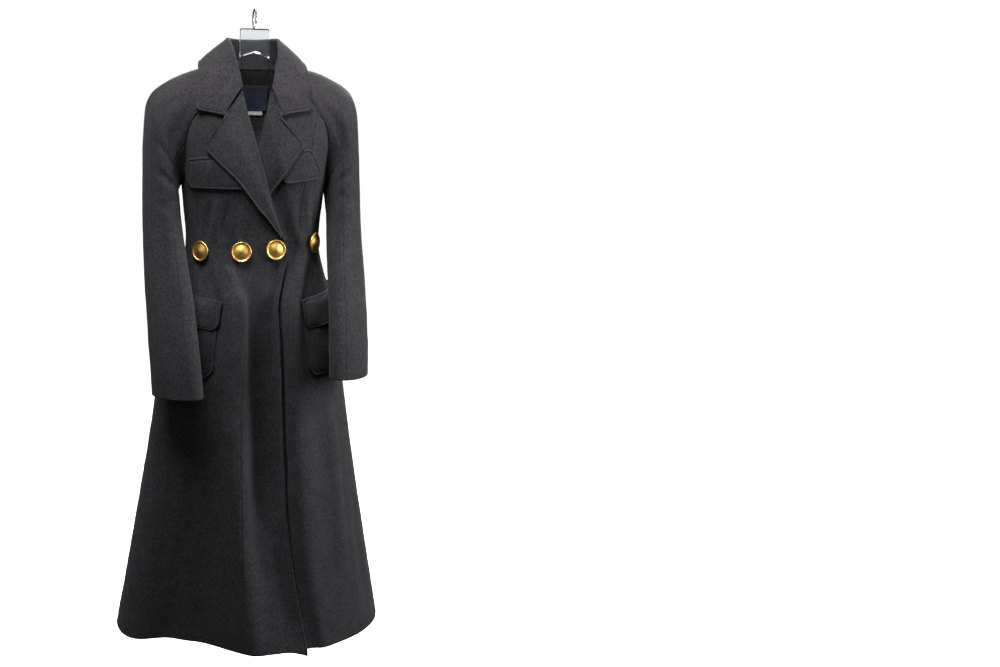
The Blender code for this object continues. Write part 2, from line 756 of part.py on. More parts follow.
def body_panels(side, hand):
    sunk = under_sink if side > 0 else None
    princess, side_line = front_seam(side), side_seam(side)
    outer_line = back_seam(BACK_OUTER_SEAM, side)
    inner_line = back_seam(BACK_INNER_SEAM, side)
    edge = over_edge if side < 0 else under_edge
    layer = VENT_EDGE if side < 0 else VENT_UNDER
    drop = TIP_DROP if side < 0 else 0.0
    top = front_top(side)
    panel(f"front_{hand}", edge, princess, top, FRONT_COLUMNS, FRONT_MEETS, sunk, drop)
    panel(
        f"side_front_{hand}",
        princess,
        side_line,
        seam_stretch(side, FRONT_SEAM_SHARE, 0.5),
        SIDE_FRONT_COLUMNS,
        SIDE_FRONT_MEETS,
        sunk,
    )
    panel(
        f"side_back_{hand}",
        side_line,
        outer_line,
        seam_stretch(side, 0.5, OUTER_SEAM_SHARE),
        SIDE_BACK_COLUMNS,
        SIDE_BACK_MEETS,
    )
    panel(
        f"back_side_{hand}",
        outer_line,
        inner_line,
        seam_stretch(side, OUTER_SEAM_SHARE, INNER_SEAM_SHARE),
        BACK_SIDE_COLUMNS,
        BACK_SIDE_MEETS,
    )
    panel(
        f"back_{hand}",
        inner_line,
        vent_edge(layer, side),
        back_top(side),
        BACK_COLUMNS,
        BACK_MEETS,
        lambda turn, height: vent_sink(side, turn, height),
    )


def sleeve_shares():
    """The places on the armhole seam where the panels' kept top points lie."""
    shares = [blend(0.0, FRONT_SEAM_SHARE, (FRONT_COLUMNS[i] - 0.5) / 0.5) for i in FRONT_MEETS[5:]]
    stretches = (
        (FRONT_SEAM_SHARE, 0.5, SIDE_FRONT_COLUMNS, SIDE_FRONT_MEETS),
        (0.5, OUTER_SEAM_SHARE, SIDE_BACK_COLUMNS, SIDE_BACK_MEETS),
        (OUTER_SEAM_SHARE, INNER_SEAM_SHARE, BACK_SIDE_COLUMNS, BACK_SIDE_MEETS),
        (INNER_SEAM_SHARE, 1.0, (0.0, 0.5, 1.0), (0, 1, 2)),
    )
    for first, last, columns, meets in stretches:
        shares += [blend(first, last, columns[i]) for i in meets[1:]]
    return shares


def ring_angle(share):
    """The sleeve ring's angle, from its outer point round the front, at an armhole share."""
    return blend(NECK_REACH, 360.0 - NECK_REACH, share)


def ring_point(row, side, angle, raise_by):
    outer_x, outer_z, inner_x, inner_z, centre_y, depth, slant, square, left_in = row
    half_x, half_z = (outer_x - inner_x) / 2, (outer_z - inner_z) / 2
    centre_x = (outer_x + inner_x) / 2 - (left_in if side > 0 else 0.0)
    power = 2 / square
    cosine, sine = math.cos(math.radians(angle)), math.sin(math.radians(angle))
    out = math.copysign(abs(cosine) ** power, cosine)
    fore = math.copysign(abs(sine) ** power, sine)
    return Vector((
        side * (centre_x + half_x * out),
        centre_y - depth * fore + slant * math.hypot(half_x, half_z) * out,
        (outer_z + inner_z) / 2 + half_z * out + raise_by,
    ))


def sleeve_grid(side):
    """The whole sleeve as a closed grid: its rings, and the way out at each point."""
    shares = sleeve_shares()
    angles = [ring_angle(share) for share in shares] + [360.0]
    seam = [skin(*armhole(side, share)) for share in shares]
    front_neck, back_neck = armhole(side, 0.0), armhole(side, 1.0)
    seam.append(skin(*(blend(f, b, 0.5) for f, b in zip(front_neck, back_neck))))
    rings = []
    for index, row in enumerate(SLEEVE_RINGS):
        fade = max(0.0, 1 - index / CAP_RINGS) ** 2
        lower = index / (len(SLEEVE_RINGS) - 1)
        raise_by = CUFF_RAISED_LEFT * lower**2 if side > 0 else 0.0
        ring = []
        for angle, seam_point in zip(angles, seam):
            place = ring_point(row, side, angle, raise_by)
            start = ring_point(SLEEVE_RINGS[0], side, angle, 0.0)
            ring.append(place + (seam_point - start) * fade)
        rings.append(ring)
    for index, point in enumerate(rings[0]):
        rings[0][index] = point + (rings[1][index] - point).normalized() * SLEEVE_GAP
    return rings


def ring_normals(rings, side):
    rows, columns = len(rings), len(rings[0])
    normals = []
    for r, ring in enumerate(rings):
        above, below = rings[max(r - 1, 0)], rings[min(r + 1, rows - 1)]
        row = []
        for c in range(columns):
            round_it = ring[(c + 1) % columns] - ring[c - 1]
            down_it = below[c] - above[c]
            row.append(round_it.cross(down_it).normalized() * side)
        normals.append(row)
    return normals


def sleeves(side, hand):
    """The upper and the under sleeve, parted at the two sleeve seams."""
    rings = sleeve_grid(side)
    normals = ring_normals(rings, side)
    for column, share in enumerate(sleeve_shares()):
        if share < 0.05 or share > 0.92:
            normals[0][column] = skin_normal(*armhole(side, share))
    last = len(rings[0])
    keep_outer(f"sleeve_{hand}", rings[:8], lambda middle: Vector((0.15 * side, 0, middle.z - 0.05)))
    cuff_buttons(side, hand, rings, normals)
    pieces = {
        f"under_sleeve_{hand}": range(FRONT_SLEEVE_SEAM, BACK_SLEEVE_SEAM + 1),
        f"upper_sleeve_{hand}": range(BACK_SLEEVE_SEAM, FRONT_SLEEVE_SEAM + last + 1),
    }
    for name, columns in pieces.items():
        columns = [c % last for c in columns]
        outer, inner = [], []
        for ring, ways in zip(rings, normals):
            outer_row = [ring[c] for c in columns]
            inner_row = [ring[c] - ways[c] * WALL for c in columns]
            for row in (outer_row, inner_row):
                row[0] += (row[1] - row[0]).normalized() * SLEEVE_INSET
                row[-1] += (row[-2] - row[-1]).normalized() * SLEEVE_INSET
            outer.append(outer_row)
            inner.append(inner_row)
        wall(name, outer, inner)


def keep_outer(name, grid, centre):
    """Remembers a grid's quads, turned to face away from a centre at each height."""
    quads = []
    for upper, lower in zip(grid, grid[1:]):
        for column in range(len(upper) - 1):
            quad = [upper[column], upper[column + 1], lower[column + 1], lower[column]]
            middle = sum(quad, Vector()) / 4
            way = (quad[2] - quad[0]).cross(quad[3] - quad[1])
            if way.dot(middle - centre(middle)) < 0:
                quad.reverse()
            quads.append(quad)
    laid_cloth[name] = quads


def cloth_under():
    """A tree of the outer faces kept so far, to find what a point lies over."""
    points, faces = [], []
    for quads in laid_cloth.values():
        for quad in quads:
            faces.append(tuple(range(len(points), len(points) + 4)))
            points += quad
    return BVHTree.FromPolygons(points, faces)


def push_clear(point, tree, clear):
    """Moves a point out until it stands a length clear of the cloth under it."""
    for _ in range(3):
        found, way, _, away = tree.find_nearest(point)
        height = (point - found).dot(way)
        if height > 0 and away >= clear:
            return point
        point = point + way * max(clear - height, 0.0005)
    return point


def neck_edge():
    """The neck seam from the right gorge round the back to the left one, with its rows."""
    halves = []
    for side in (-1, 1):
        front, back = front_top(side), back_top(side)
        places = [back(share) for share in (1.0, 0.75, 0.5)]
        neck_front, neck_back = armhole(side, 0.0), armhole(side, 1.0)
        places.append([blend(f, b, 0.5) for f, b in zip(neck_front, neck_back)])
        places += [front(FRONT_COLUMNS[i]) for i in FRONT_MEETS[5::-1]]
        halves.append([(side, row, skin(*place)) for row, place in zip(COLLAR, places)])
    return halves[0][::-1] + halves[1][1:]


def collar():
    """The stand and the fall of the collar as one folded wall."""
    tree = cloth_under()
    middle = []
    for side, row, neck in neck_edge():
        hand = 0 if side < 0 else 1
        top = Vector((side * row[hand], row[2], row[3]))
        edge = Vector((side * row[4 + hand], row[6], row[7]))
        up = (top - neck).normalized()
        out = edge - top
        out = (out - up * out.dot(up)).normalized()
        start = neck + up * STAND_GAP
        stand = top - up * 0.0040
        fall = top + out * 0.0055 - up * 0.0040
        falls = [fall.lerp(edge, share) + out * 0.002 for share in (0.35, 0.72)]
        middle.append([
            start,
            start.lerp(stand, 0.5),
            stand,
            top - up * 0.0004 + out * 0.0006,
            top + out * 0.0042 - up * 0.0004,
            *(push_clear(point, tree, COLLAR_CLEAR) for point in (fall, *falls, edge)),
        ])
    outer, inner = [], []
    last_row, last_column = len(middle) - 1, len(middle[0]) - 1
    for r, row in enumerate(middle):
        outer_row, inner_row = [], []
        for c, point in enumerate(row):
            along = middle[min(r + 1, last_row)][c] - middle[max(r - 1, 0)][c]
            across = row[min(c + 1, last_column)] - row[max(c - 1, 0)]
            way = along.cross(across).normalized() * (WALL / 2)
            outer_row.append(point + way)
            inner_row.append(point - way)
        outer.append(outer_row)
        inner.append(inner_row)
    wall("collar", outer, inner)


def laid(name, rows, columns, lift, sink=None, thick=WALL, finish="wool"):
    """A piece that lies on the body, between the two ends of each of its rows.

    An end is a turn and a height. The lift gives how far the piece's inner face stands
    off, at a turn, a height, a share across and a row.
    """
    outer, inner = [], []
    for index, (first, last) in enumerate(rows):
        outer_row, inner_row = [], []
        for share in columns:
            turn, height = (blend(a, b, share) for a, b in zip(first, last))
            up = lift(turn, height, share, index) - (sink(turn, height) if sink else 0.0)
            inner_row.append(raised(turn, height, up))
            outer_row.append(raised(turn, height, up + thick))
        outer.append(outer_row)
        inner.append(inner_row)
    return wall(name, outer, inner, finish)


def front_place(across, height):
    return turn_of(across, height, "front"), height


def back_place(across, height):
    return turn_of(across, height, "back"), height


def lapel(name, table, roll, sink):
    rows = []
    for roll_height, across, height in table:
        start = front_place(read(roll, roll_height)[0], roll_height)
        rows.append((start, front_place(across, height)))

    def lift(turn, height, share, index):
        clear = (skin(turn, height).x - read(OVER_EDGE, height)[0]) / 0.022 if sink else 1.0
        part = soft_step(share / 0.4) * soft_step(clear) * min(1.0, (len(rows) - 1 - index) / 2)
        return blend(LAPEL_BASE, LAPEL_LIFT, part)

    laid(name, rows, LAPEL_COLUMNS, lift, sink)


def chest_flap(name, table, sink):
    rows = [
        (front_place(inner_x, inner_z), front_place(outer_x, outer_z))
        for inner_x, inner_z, outer_x, outer_z in table
    ]
    laid(name, rows, CHEST_COLUMNS, lambda *_: CHEST_LAID, sink)


def hip_piece(name, table, side, stand, low, laid_at):
    """A pocket or its flap, wrapped round the hip. The low share is its lift at the ends."""
    rows = []
    for front_x, front_z, back_x, back_z, _ in table:
        first = turn_of(side * front_x, front_z, "front")
        last = turn_of(side * back_x, back_z, "back", side * 180.0)
        rows.append(((first, front_z), (last, back_z)))

    def lift(turn, height, share, index):
        ends = low + (1 - low) * soft_step(min(share, 1 - share) / 0.12)
        return laid_at + stand * table[index][4] * ends

    laid(name, rows, HIP_COLUMNS, lift)


def belt_heights(across):
    rise = BELT_RISE * (across / BELT_REACH) ** 2
    return BELT_TOP + rise, BELT_BOTTOM + rise


def half_belt(name, sections, over):
    rows = []
    for across in sections:
        top, bottom = belt_heights(across)
        middle = blend(top, bottom, 0.5)
        point = BELT_POINT if over and across == sections[-1] else 0.0
        rows.append((across, point, top, middle, bottom))
    outer, inner = [], []
    for across, point, top, middle, bottom in rows:
        outer_row, inner_row = [], []
        for share in (0.0, 0.5, 1.0):
            height = blend(top, bottom, share)
            here = across + (point if share == 0.5 else 0.0)
            lap = soft_step((here + 0.045) / 0.018) if over else 0.0
            up = blend(BELT_LIFT, BELT_LAP, lap)
            turn = turn_of(here, height, "back")
            inner_row.append(raised(turn, height, up))
            outer_row.append(raised(turn, height, up + WALL))
        outer.append(outer_row)
        inner.append(inner_row)
    wall(name, outer, inner)


def neck_piece(name, sizes, lift, finish):
    half, top, bottom, thick, tilt = sizes
    rows = [
        (back_place(-half, height - tilt), back_place(half, height + tilt))
        for height in (top, bottom)
    ]
    columns = tuple(step / 6 for step in range(7))
    laid(name, rows, columns, lambda *_: lift, thick=thick, finish=finish)


def turned(name, base, way, profile, peak, sides, finish):
    """A round piece on an axis: its foot, its profile and its peak."""
    way = way.normalized()
    first = way.orthogonal().normalized()
    second = way.cross(first)
    points = [base]
    for radius, height in profile:
        for step in range(sides):
            angle = 2 * math.pi * step / sides
            spoke = first * math.cos(angle) + second * math.sin(angle)
            points.append(base + way * height + spoke * radius)
    points.append(base + way * peak)
    faces = []
    for step in range(sides):
        after = (step + 1) % sides
        faces.append((0, 1 + after, 1 + step))
        for ring in range(len(profile) - 1):
            low, high = 1 + ring * sides, 1 + (ring + 1) * sides
            faces.append((low + step, low + after, high + after, high + step))
        top = 1 + (len(profile) - 1) * sides
        faces.append((top + step, top + after, len(points) - 1))
    return new_object(name, points, faces, finish)


def big_button(name, across, height, face, out):
    """A large button on its shank, seated on the faces that lie under it."""
    turn = turn_of(across, height, face)
    way, place = skin_normal(turn, height), skin(turn, height)
    under = cloth_under().find_nearest(place)[0]
    base = place + way * ((under - place).dot(way) + BUTTON_SEAT + out)
    turned(name, base, way, BIG_BUTTON, BIG_BUTTON_PEAK, BIG_BUTTON_SIDES, "brass")


def buttons():
    for number, (across, height) in enumerate(FRONT_BUTTONS, 1):
        big_button(f"button_front_{number}", across, height, "front", 0.0)
    big_button("button_belt", *BELT_BUTTON, "back", BELT_LAP + WALL)


def cuff_buttons(side, hand, rings, normals):
    low, high = rings[-1][CUFF_BUTTON_COLUMN], rings[-2][CUFF_BUTTON_COLUMN]
    way = normals[-1][CUFF_BUTTON_COLUMN]
    for number, up in enumerate(CUFF_BUTTON_UP, 1):
        base = low + (high - low).normalized() * up + way * GAP
        name = f"button_cuff_{hand}_{number}"
        turned(name, base, way, CUFF_BUTTON, CUFF_BUTTON_PEAK, CUFF_BUTTON_SIDES, "brass")


def loft(name, rings, finish):
    """A closed solid through rings of the same number of points."""
    sides = len(rings[0])
    points = [p for ring in rings for p in ring]
    faces = [tuple(range(sides)), tuple(range(len(points) - sides, len(points)))]
    for index in range(len(rings) - 1):
        low, high = index * sides, (index + 1) * sides
        for step in range(sides):
            after = (step + 1) % sides
            faces.append((low + step, low + after, high + after, high + step))
    return new_object(name, points, faces, finish)


def hanger():
    rings = []
    rows = [(-row[0], *row[1:]) for row in HANGER[:0:-1]] + list(HANGER)
    for across, top, bottom, half in rows:
        cut = min(HANGER_CHAMFER, half * 0.7)
        corners = (
            (half, top - cut),
            (half, bottom + cut),
            (half - cut, bottom),
            (-half + cut, bottom),
            (-half, bottom + cut),
            (-half, top - cut),
            (-half + cut, top),
            (half - cut, top),
        )
        rings.append([Vector((across, along, height)) for along, height in corners])
    loft("hanger", rings, "clear")


def hook():
    """The wire hook: a nut on the hanger, a short stem and the crook."""
    centre = -HOOK_BEND + HOOK_WIRE
    path = [Vector((0, along, height)) for along, height in HOOK_STEM]
    for angle in HOOK_ANGLES:
        turn = math.radians(angle)
        path.append(Vector((0, HOOK_BEND * math.cos(turn), centre + HOOK_BEND * math.sin(turn))))
    rings = []
    for index, place in enumerate(path):
        ahead, behind = path[min(index + 1, len(path) - 1)], path[max(index - 1, 0)]
        way = (ahead - behind).normalized()
        up = Vector((1, 0, 0)).cross(way)
        radius = HOOK_WIRE * (0.8 if index == len(path) - 1 else 1.0)
        if index < 2:
            way, up = Vector((0, 0, 1)), Vector((0, -1, 0))
        ring = []
        for step in range(HOOK_SIDES):
            angle = 2 * math.pi * step / HOOK_SIDES
            spoke = Vector((math.cos(angle), 0, 0)) + up * math.sin(angle)
            ring.append(place + spoke * radius)
        rings.append(ring)
    radius, height = HOOK_FLANGE
    foot = HOOK_STEM[0][1] - GAP
    for level in (height, 0.0):
        ring = []
        for step in range(HOOK_SIDES):
            angle = 2 * math.pi * step / HOOK_SIDES
            along = -math.sin(angle) * radius
            ring.append(Vector((math.cos(angle) * radius, along, foot + level)))
        rings.insert(0, ring)
    loft("hanger_hook", rings, "steel")


def faces_of(name):
    """A tree of a piece's triangles, and its corners."""
    mesh = bpy.data.objects[name].data
    mesh.calc_loop_triangles()
    points = [corner.co.copy() for corner in mesh.vertices]
    faces = [tuple(triangle.vertices) for triangle in mesh.loop_triangles]
    return BVHTree.FromPolygons(points, faces), points


def seat(name, way, carriers, gap=GAP):
    """Moves a piece back along its way out until it lies a gap from what carries it."""
    tree, points = faces_of(name)
    room = []
    for carrier in carriers:
        under, corners = faces_of(carrier)
        room += [under.ray_cast(point, -way, SEAT_REACH)[3] for point in points]
        room += [tree.ray_cast(corner, way, SEAT_REACH)[3] for corner in corners]
    shift = min(length for length in room if length is not None) - gap
    bpy.data.objects[name].data.transform(Matrix.Translation(-way * shift))


def seat_pieces():
    """Seats what lies on the panels, the lower pieces first."""
    front, back = Vector((0, -1, 0)), Vector((0, 1, 0))
    backs = ("back_left", "back_right", "back_side_left", "back_side_right")
    for hand in ("right", "left"):
        fronts = (f"front_{hand}", f"side_front_{hand}")
        seat(f"chest_flap_{hand}", front, fronts, CLOTH_SEAT)
        seat(f"lapel_{hand}", front, (*fronts, f"chest_flap_{hand}"), CLOTH_SEAT)
    seat("belt_under", back, backs, CLOTH_SEAT)
    seat("belt_over", back, (*backs, "belt_under"), CLOTH_SEAT)
    seat("leather_tab", back, backs)
    seat("neck_label", front, backs)
    seat("label_strip", front, backs)
    carriers = ("side_front_right", "front_right", "front_right", "side_front_left")
    for number, (place, carrier) in enumerate(zip(FRONT_BUTTONS, carriers), 1):
        way = skin_normal(turn_of(*place, "front"), place[1])
        seat(f"button_front_{number}", way, (carrier,))
    way = skin_normal(turn_of(*BELT_BUTTON, "back"), BELT_BUTTON[1])
    seat("button_belt", way, ("belt_over",))


def main():
    clear_scene()
    for side, hand in ((-1, "right"), (1, "left")):
        body_panels(side, hand)
        sleeves(side, hand)
        hip_piece(f"hip_pocket_{hand}", HIP_POCKET, side, POCKET_PUFF, 0.0, POCKET_LAID)
        hip_piece(f"hip_flap_{hand}", HIP_FLAP, side, FLAP_STAND, 0.35, FLAP_LAID)
    collar()
    lapel("lapel_right", LAPEL_RIGHT, OVER_EDGE, None)
    lapel("lapel_left", LAPEL_LEFT, UNDER_EDGE, under_sink)
    chest_flap("chest_flap_right", CHEST_FLAP_RIGHT, None)
    chest_flap("chest_flap_left", CHEST_FLAP_LEFT, under_sink)
    half_belt("belt_over", BELT_OVER_SECTIONS, True)
    half_belt("belt_under", BELT_UNDER_SECTIONS, False)
    neck_piece("leather_tab", TAB, LAID, "leather")
    neck_piece("neck_label", LABEL, -(WALL + INSIDE_GAP + LABEL[3]), "label")
    neck_piece("label_strip", STRIP, -(WALL + INSIDE_GAP + STRIP[3]), "tape")
    buttons()
    seat_pieces()
    hanger()
    hook()


if __name__ == "__main__":
    main()
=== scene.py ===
"""Cloth, trim, hanger and studio for a long fitted wool coat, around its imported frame.

Metres, +Z up. The front faces -Y and the wearer's left is +X. The coat's body is one skin,
read from a table of sections and a table of folds, as in the part's own source. A place on
it is a turn, in degrees from the front centre towards +X, and a height. Each cut piece is a
thin shell on that skin, with creases, seams and stitching that the solids leave out.
"""

import math

import bmesh
import bpy
import numpy as np
from bpy.props import FloatProperty, FloatVectorProperty, PointerProperty
from mathutils import Matrix, Vector, noise
from mathutils.bvhtree import BVHTree


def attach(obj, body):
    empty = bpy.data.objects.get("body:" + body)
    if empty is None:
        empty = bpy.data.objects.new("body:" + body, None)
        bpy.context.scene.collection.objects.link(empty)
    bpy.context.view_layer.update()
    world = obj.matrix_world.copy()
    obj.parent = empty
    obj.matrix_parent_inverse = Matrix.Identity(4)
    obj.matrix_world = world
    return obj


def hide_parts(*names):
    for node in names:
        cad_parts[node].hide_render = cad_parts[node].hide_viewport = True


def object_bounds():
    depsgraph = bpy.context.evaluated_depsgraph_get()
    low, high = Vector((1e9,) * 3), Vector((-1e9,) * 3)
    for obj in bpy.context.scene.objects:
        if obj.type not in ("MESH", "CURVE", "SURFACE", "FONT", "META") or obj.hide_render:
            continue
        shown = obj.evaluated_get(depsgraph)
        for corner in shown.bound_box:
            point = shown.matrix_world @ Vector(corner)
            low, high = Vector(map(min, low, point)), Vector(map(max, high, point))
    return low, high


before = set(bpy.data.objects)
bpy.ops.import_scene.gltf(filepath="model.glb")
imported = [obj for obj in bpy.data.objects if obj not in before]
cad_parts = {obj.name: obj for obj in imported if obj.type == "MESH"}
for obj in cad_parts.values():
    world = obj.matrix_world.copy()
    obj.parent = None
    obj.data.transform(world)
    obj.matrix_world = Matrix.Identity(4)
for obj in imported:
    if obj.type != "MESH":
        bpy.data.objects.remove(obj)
CAD_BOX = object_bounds()

bl_info = {
    "name": "Safari coat",
    "version": (1, 0, 0),
    "blender": (4, 5, 0),
    "location": "View3D > Sidebar > Coat",
    "description": "Builds the cloth, trim, hanger and studio of a long wool coat",
    "category": "Add Mesh",
}

WALL = 0.002  # thickness of the coating cloth
UNDER_DEPTH = 0.0106  # how far the under front lies below the over front
UNDER_FADE = 0.030  # width over which it comes back to the surface
TOP_FADE = 40  # power by which a panel's columns leave the spacing of its top line
ROW_STEP = 0.0065  # between two rows of a panel
HEM_ROWS = (0.0055, 0.0026, 0.0012, 0.0004, 0.0)  # of its last rows from the hem
COLUMN_STEP = 0.0065  # between two columns of it
STITCH_LENGTH, STITCH_GAP, STITCH_WIDTH = 0.0026, 0.0010, 0.0005
STITCH_INSET = 0.0062  # of a topstitch row from its edge
STITCH_RINGS = (  # share of its length, width, height
    (0.0, 0.35, -0.6),
    (0.25, 1.0, 0.7),
    (0.75, 1.0, 0.7),
    (1.0, 0.35, -0.6),
)
PUCKER_REACH = 0.009  # how far the cloth puckers beside a seam
HEM_TURN, NECK_FACING, FRONT_FACING = 0.040, -0.245, 0.075  # where the wool turns inside
SLEEVE_GIRTH, SLEEVE_LENGTH = 0.30, 0.60  # of the flat chart that holds a sleeve's creases

HANDS = ((-1, "right"), (1, "left"))  # the sign of X on each side

HEM = -1.350
TIP_DROP = 0.012  # how much lower the over front's corner hangs
NECK_FRONT = -0.165  # where the roll line meets the collar
NECK_BACK = -0.114  # the neck seam at the centre back
BREAK = -0.475  # where the roll line meets the front edge

# Sections of the body: the squareness is the power of the superellipse.
# height, half width, front depth, back depth, squareness
SECTIONS = (
    (-0.100, 0.074, 0.052, 0.062, 2.2),
    (-0.125, 0.100, 0.058, 0.070, 2.4),
    (-0.150, 0.130, 0.066, 0.079, 2.6),
    (-0.180, 0.157, 0.075, 0.088, 2.8),
    (-0.210, 0.167, 0.084, 0.094, 3.0),
    (-0.260, 0.164, 0.096, 0.097, 3.0),
    (-0.320, 0.156, 0.105, 0.094, 2.8),
    (-0.400, 0.148, 0.105, 0.088, 2.5),
    (-0.483, 0.143, 0.102, 0.086, 2.4),
    (-0.540, 0.156, 0.112, 0.090, 2.3),
    (-0.600, 0.176, 0.128, 0.098, 2.2),
    (-0.680, 0.194, 0.141, 0.110, 2.1),
    (-0.780, 0.206, 0.151, 0.122, 2.0),
    (-0.950, 0.232, 0.168, 0.142, 2.0),
    (-1.150, 0.267, 0.184, 0.158, 2.0),
    (HEM, 0.303, 0.198, 0.172, 2.0),
)

# Folds of the front and of the back: a depth goes in, and a negative one comes out.
# height, centre, reach to -X, reach to +X, flat share, depth
FRONT_CHANNEL = (
    (-0.500, 0.000, 0.050, 0.056, 0.50, 0.000),
    (-0.560, 0.000, 0.042, 0.048, 0.55, 0.008),
    (-0.610, 0.000, 0.036, 0.040, 0.60, 0.016),
    (-0.700, 0.002, 0.038, 0.042, 0.55, 0.022),
    (-0.830, 0.012, 0.055, 0.042, 0.40, 0.034),
    (-1.000, 0.020, 0.068, 0.050, 0.30, 0.040),
    (-1.180, 0.028, 0.075, 0.062, 0.20, 0.026),
    (HEM, 0.040, 0.080, 0.080, 0.10, 0.004),
)
FRONT_RIDGE = (
    (-0.400, 0.098, 0.030, 0.030, 0.20, 0.000),
    (-0.483, 0.094, 0.028, 0.026, 0.30, -0.005),
    (-0.540, 0.078, 0.034, 0.030, 0.40, -0.010),
    (-0.600, 0.058, 0.034, 0.034, 0.50, -0.015),
    (-0.700, 0.062, 0.038, 0.040, 0.45, -0.013),
    (-0.820, 0.072, 0.046, 0.056, 0.30, -0.008),
    (-1.000, 0.086, 0.060, 0.070, 0.20, -0.006),
    (HEM, 0.120, 0.080, 0.090, 0.10, -0.004),
)
FRONT_HOLLOW = (  # on the wearer's right
    (-0.700, -0.115, 0.070, 0.080, 0.10, 0.000),
    (-0.850, -0.125, 0.085, 0.095, 0.10, 0.008),
    (-1.000, -0.135, 0.100, 0.115, 0.10, 0.026),
    (-1.180, -0.150, 0.125, 0.135, 0.12, 0.050),
    (HEM, -0.160, 0.145, 0.155, 0.14, 0.070),
)
BACK_VALLEY_LEFT = (
    (-0.460, 0.064, 0.022, 0.022, 0.20, 0.000),
    (-0.520, 0.066, 0.024, 0.026, 0.20, 0.014),
    (-0.600, 0.069, 0.026, 0.030, 0.20, 0.028),
    (-0.780, 0.073, 0.034, 0.040, 0.20, 0.062),
    (-1.000, 0.078, 0.047, 0.054, 0.22, 0.112),
    (-1.200, 0.082, 0.055, 0.064, 0.24, 0.155),
    (HEM, 0.086, 0.060, 0.068, 0.25, 0.184),
)
BACK_VALLEY_RIGHT = (  # mirrored
    (-0.460, 0.064, 0.022, 0.022, 0.20, 0.000),
    (-0.520, 0.066, 0.024, 0.026, 0.20, 0.014),
    (-0.600, 0.069, 0.026, 0.030, 0.20, 0.028),
    (-0.780, 0.071, 0.034, 0.040, 0.20, 0.062),
    (-1.000, 0.073, 0.045, 0.052, 0.22, 0.110),
    (-1.200, 0.073, 0.050, 0.062, 0.24, 0.144),
    (HEM, 0.073, 0.053, 0.068, 0.25, 0.166),
)
BACK_LOBE_LEFT = (
    (-0.560, 0.130, 0.024, 0.030, 0.10, 0.000),
    (-0.780, 0.150, 0.030, 0.036, 0.10, -0.008),
    (-1.000, 0.175, 0.045, 0.050, 0.10, 0.008),
    (HEM, 0.205, 0.090, 0.090, 0.35, 0.052),
)
BACK_LOBE_RIGHT = (  # mirrored
    (-0.560, 0.130, 0.024, 0.030, 0.10, 0.000),
    (-0.780, 0.150, 0.030, 0.040, 0.10, -0.012),
    (-1.000, 0.178, 0.045, 0.055, 0.10, -0.030),
    (HEM, 0.230, 0.075, 0.068, 0.12, -0.062),
)

# Seams and edges, as height and distance across.
OVER_EDGE = (
    (-0.134, -0.040), (-0.190, -0.032), (-0.280, -0.009), (-0.372, 0.017),
    (-0.430, 0.036), (BREAK, 0.053), (-0.500, 0.058), (-0.545, 0.046),
    (-0.600, 0.033), (-0.660, 0.034), (-0.800, 0.040), (-1.000, 0.050),
    (-1.170, 0.067), (HEM, 0.100),
)
UNDER_EDGE = (
    (-0.125, 0.031), (-0.232, 0.007), (-0.300, -0.008), (-0.372, -0.024),
    (BREAK, -0.048), (-0.545, -0.040), (-0.600, -0.031), (-0.800, -0.035),
    (HEM, -0.045),
)
FRONT_SEAM = (
    (-0.203, 0.122), (-0.280, 0.106), (-0.362, 0.090), (-0.476, 0.079),
    (-0.533, 0.062), (-0.588, 0.036), (-0.650, 0.035), (-0.800, 0.046),
    (-1.000, 0.046), (HEM, 0.040),
)
BACK_OUTER_SEAM = (
    (-0.178, 0.148), (-0.230, 0.118), (-0.285, 0.093), (-0.340, 0.083),
    (-0.400, 0.076), (-0.480, 0.080), (-0.600, 0.096), (-0.780, 0.116),
    (-1.000, 0.135), (HEM, 0.158),
)
BACK_INNER_SEAM = (
    (-0.157, 0.118), (-0.217, 0.085), (-0.270, 0.067), (-0.330, 0.040),
    (-0.420, 0.036), (-0.520, 0.038), (-0.780, 0.036), (-1.000, 0.032),
    (HEM, 0.028),
)
VENT_EDGE = (
    (-0.740, 0.000), (-0.780, 0.008), (-1.000, 0.012), (HEM, 0.018),
)
VENT_UNDER = (
    (-0.740, 0.000), (-0.780, -0.012), (HEM, -0.016),
)
VENT_TOP = -0.740
VENT_DEPTH = 0.0032  # how far the under layer of the vent lies below the over one

# The armhole seam, from the front of the neck round the underarm to the back of the neck.
# share of the way, distance across, height, turn at the underarm
SIDE_TURN = 95.0
UNDERARM = -0.357
ARMHOLE = (
    (0.00, 0.078, -0.122, "front"),
    (0.08, 0.100, -0.165, "front"),
    (0.16, 0.122, -0.203, "front"),
    (0.22, 0.138, -0.226, "front"),
    (0.29, 0.148, -0.257, "front"),
    (0.37, 0.151, -0.300, "front"),
    (0.44, 0.1505, -0.337, "front"),
    (0.50, None, UNDERARM, "side"),
    (0.56, 0.1505, -0.337, "back"),
    (0.64, 0.1525, -0.285, "back"),
    (0.71, 0.1570, -0.240, "back"),
    (0.77, 0.1570, -0.208, "back"),
    (0.83, 0.148, -0.178, "back"),
    (0.90, 0.118, -0.157, "back"),
    (0.95, 0.092, -0.136, "back"),
    (1.00, 0.067, -0.114, "back"),
)
FRONT_SEAM_SHARE, OUTER_SEAM_SHARE, INNER_SEAM_SHARE = 0.16, 0.83, 0.90

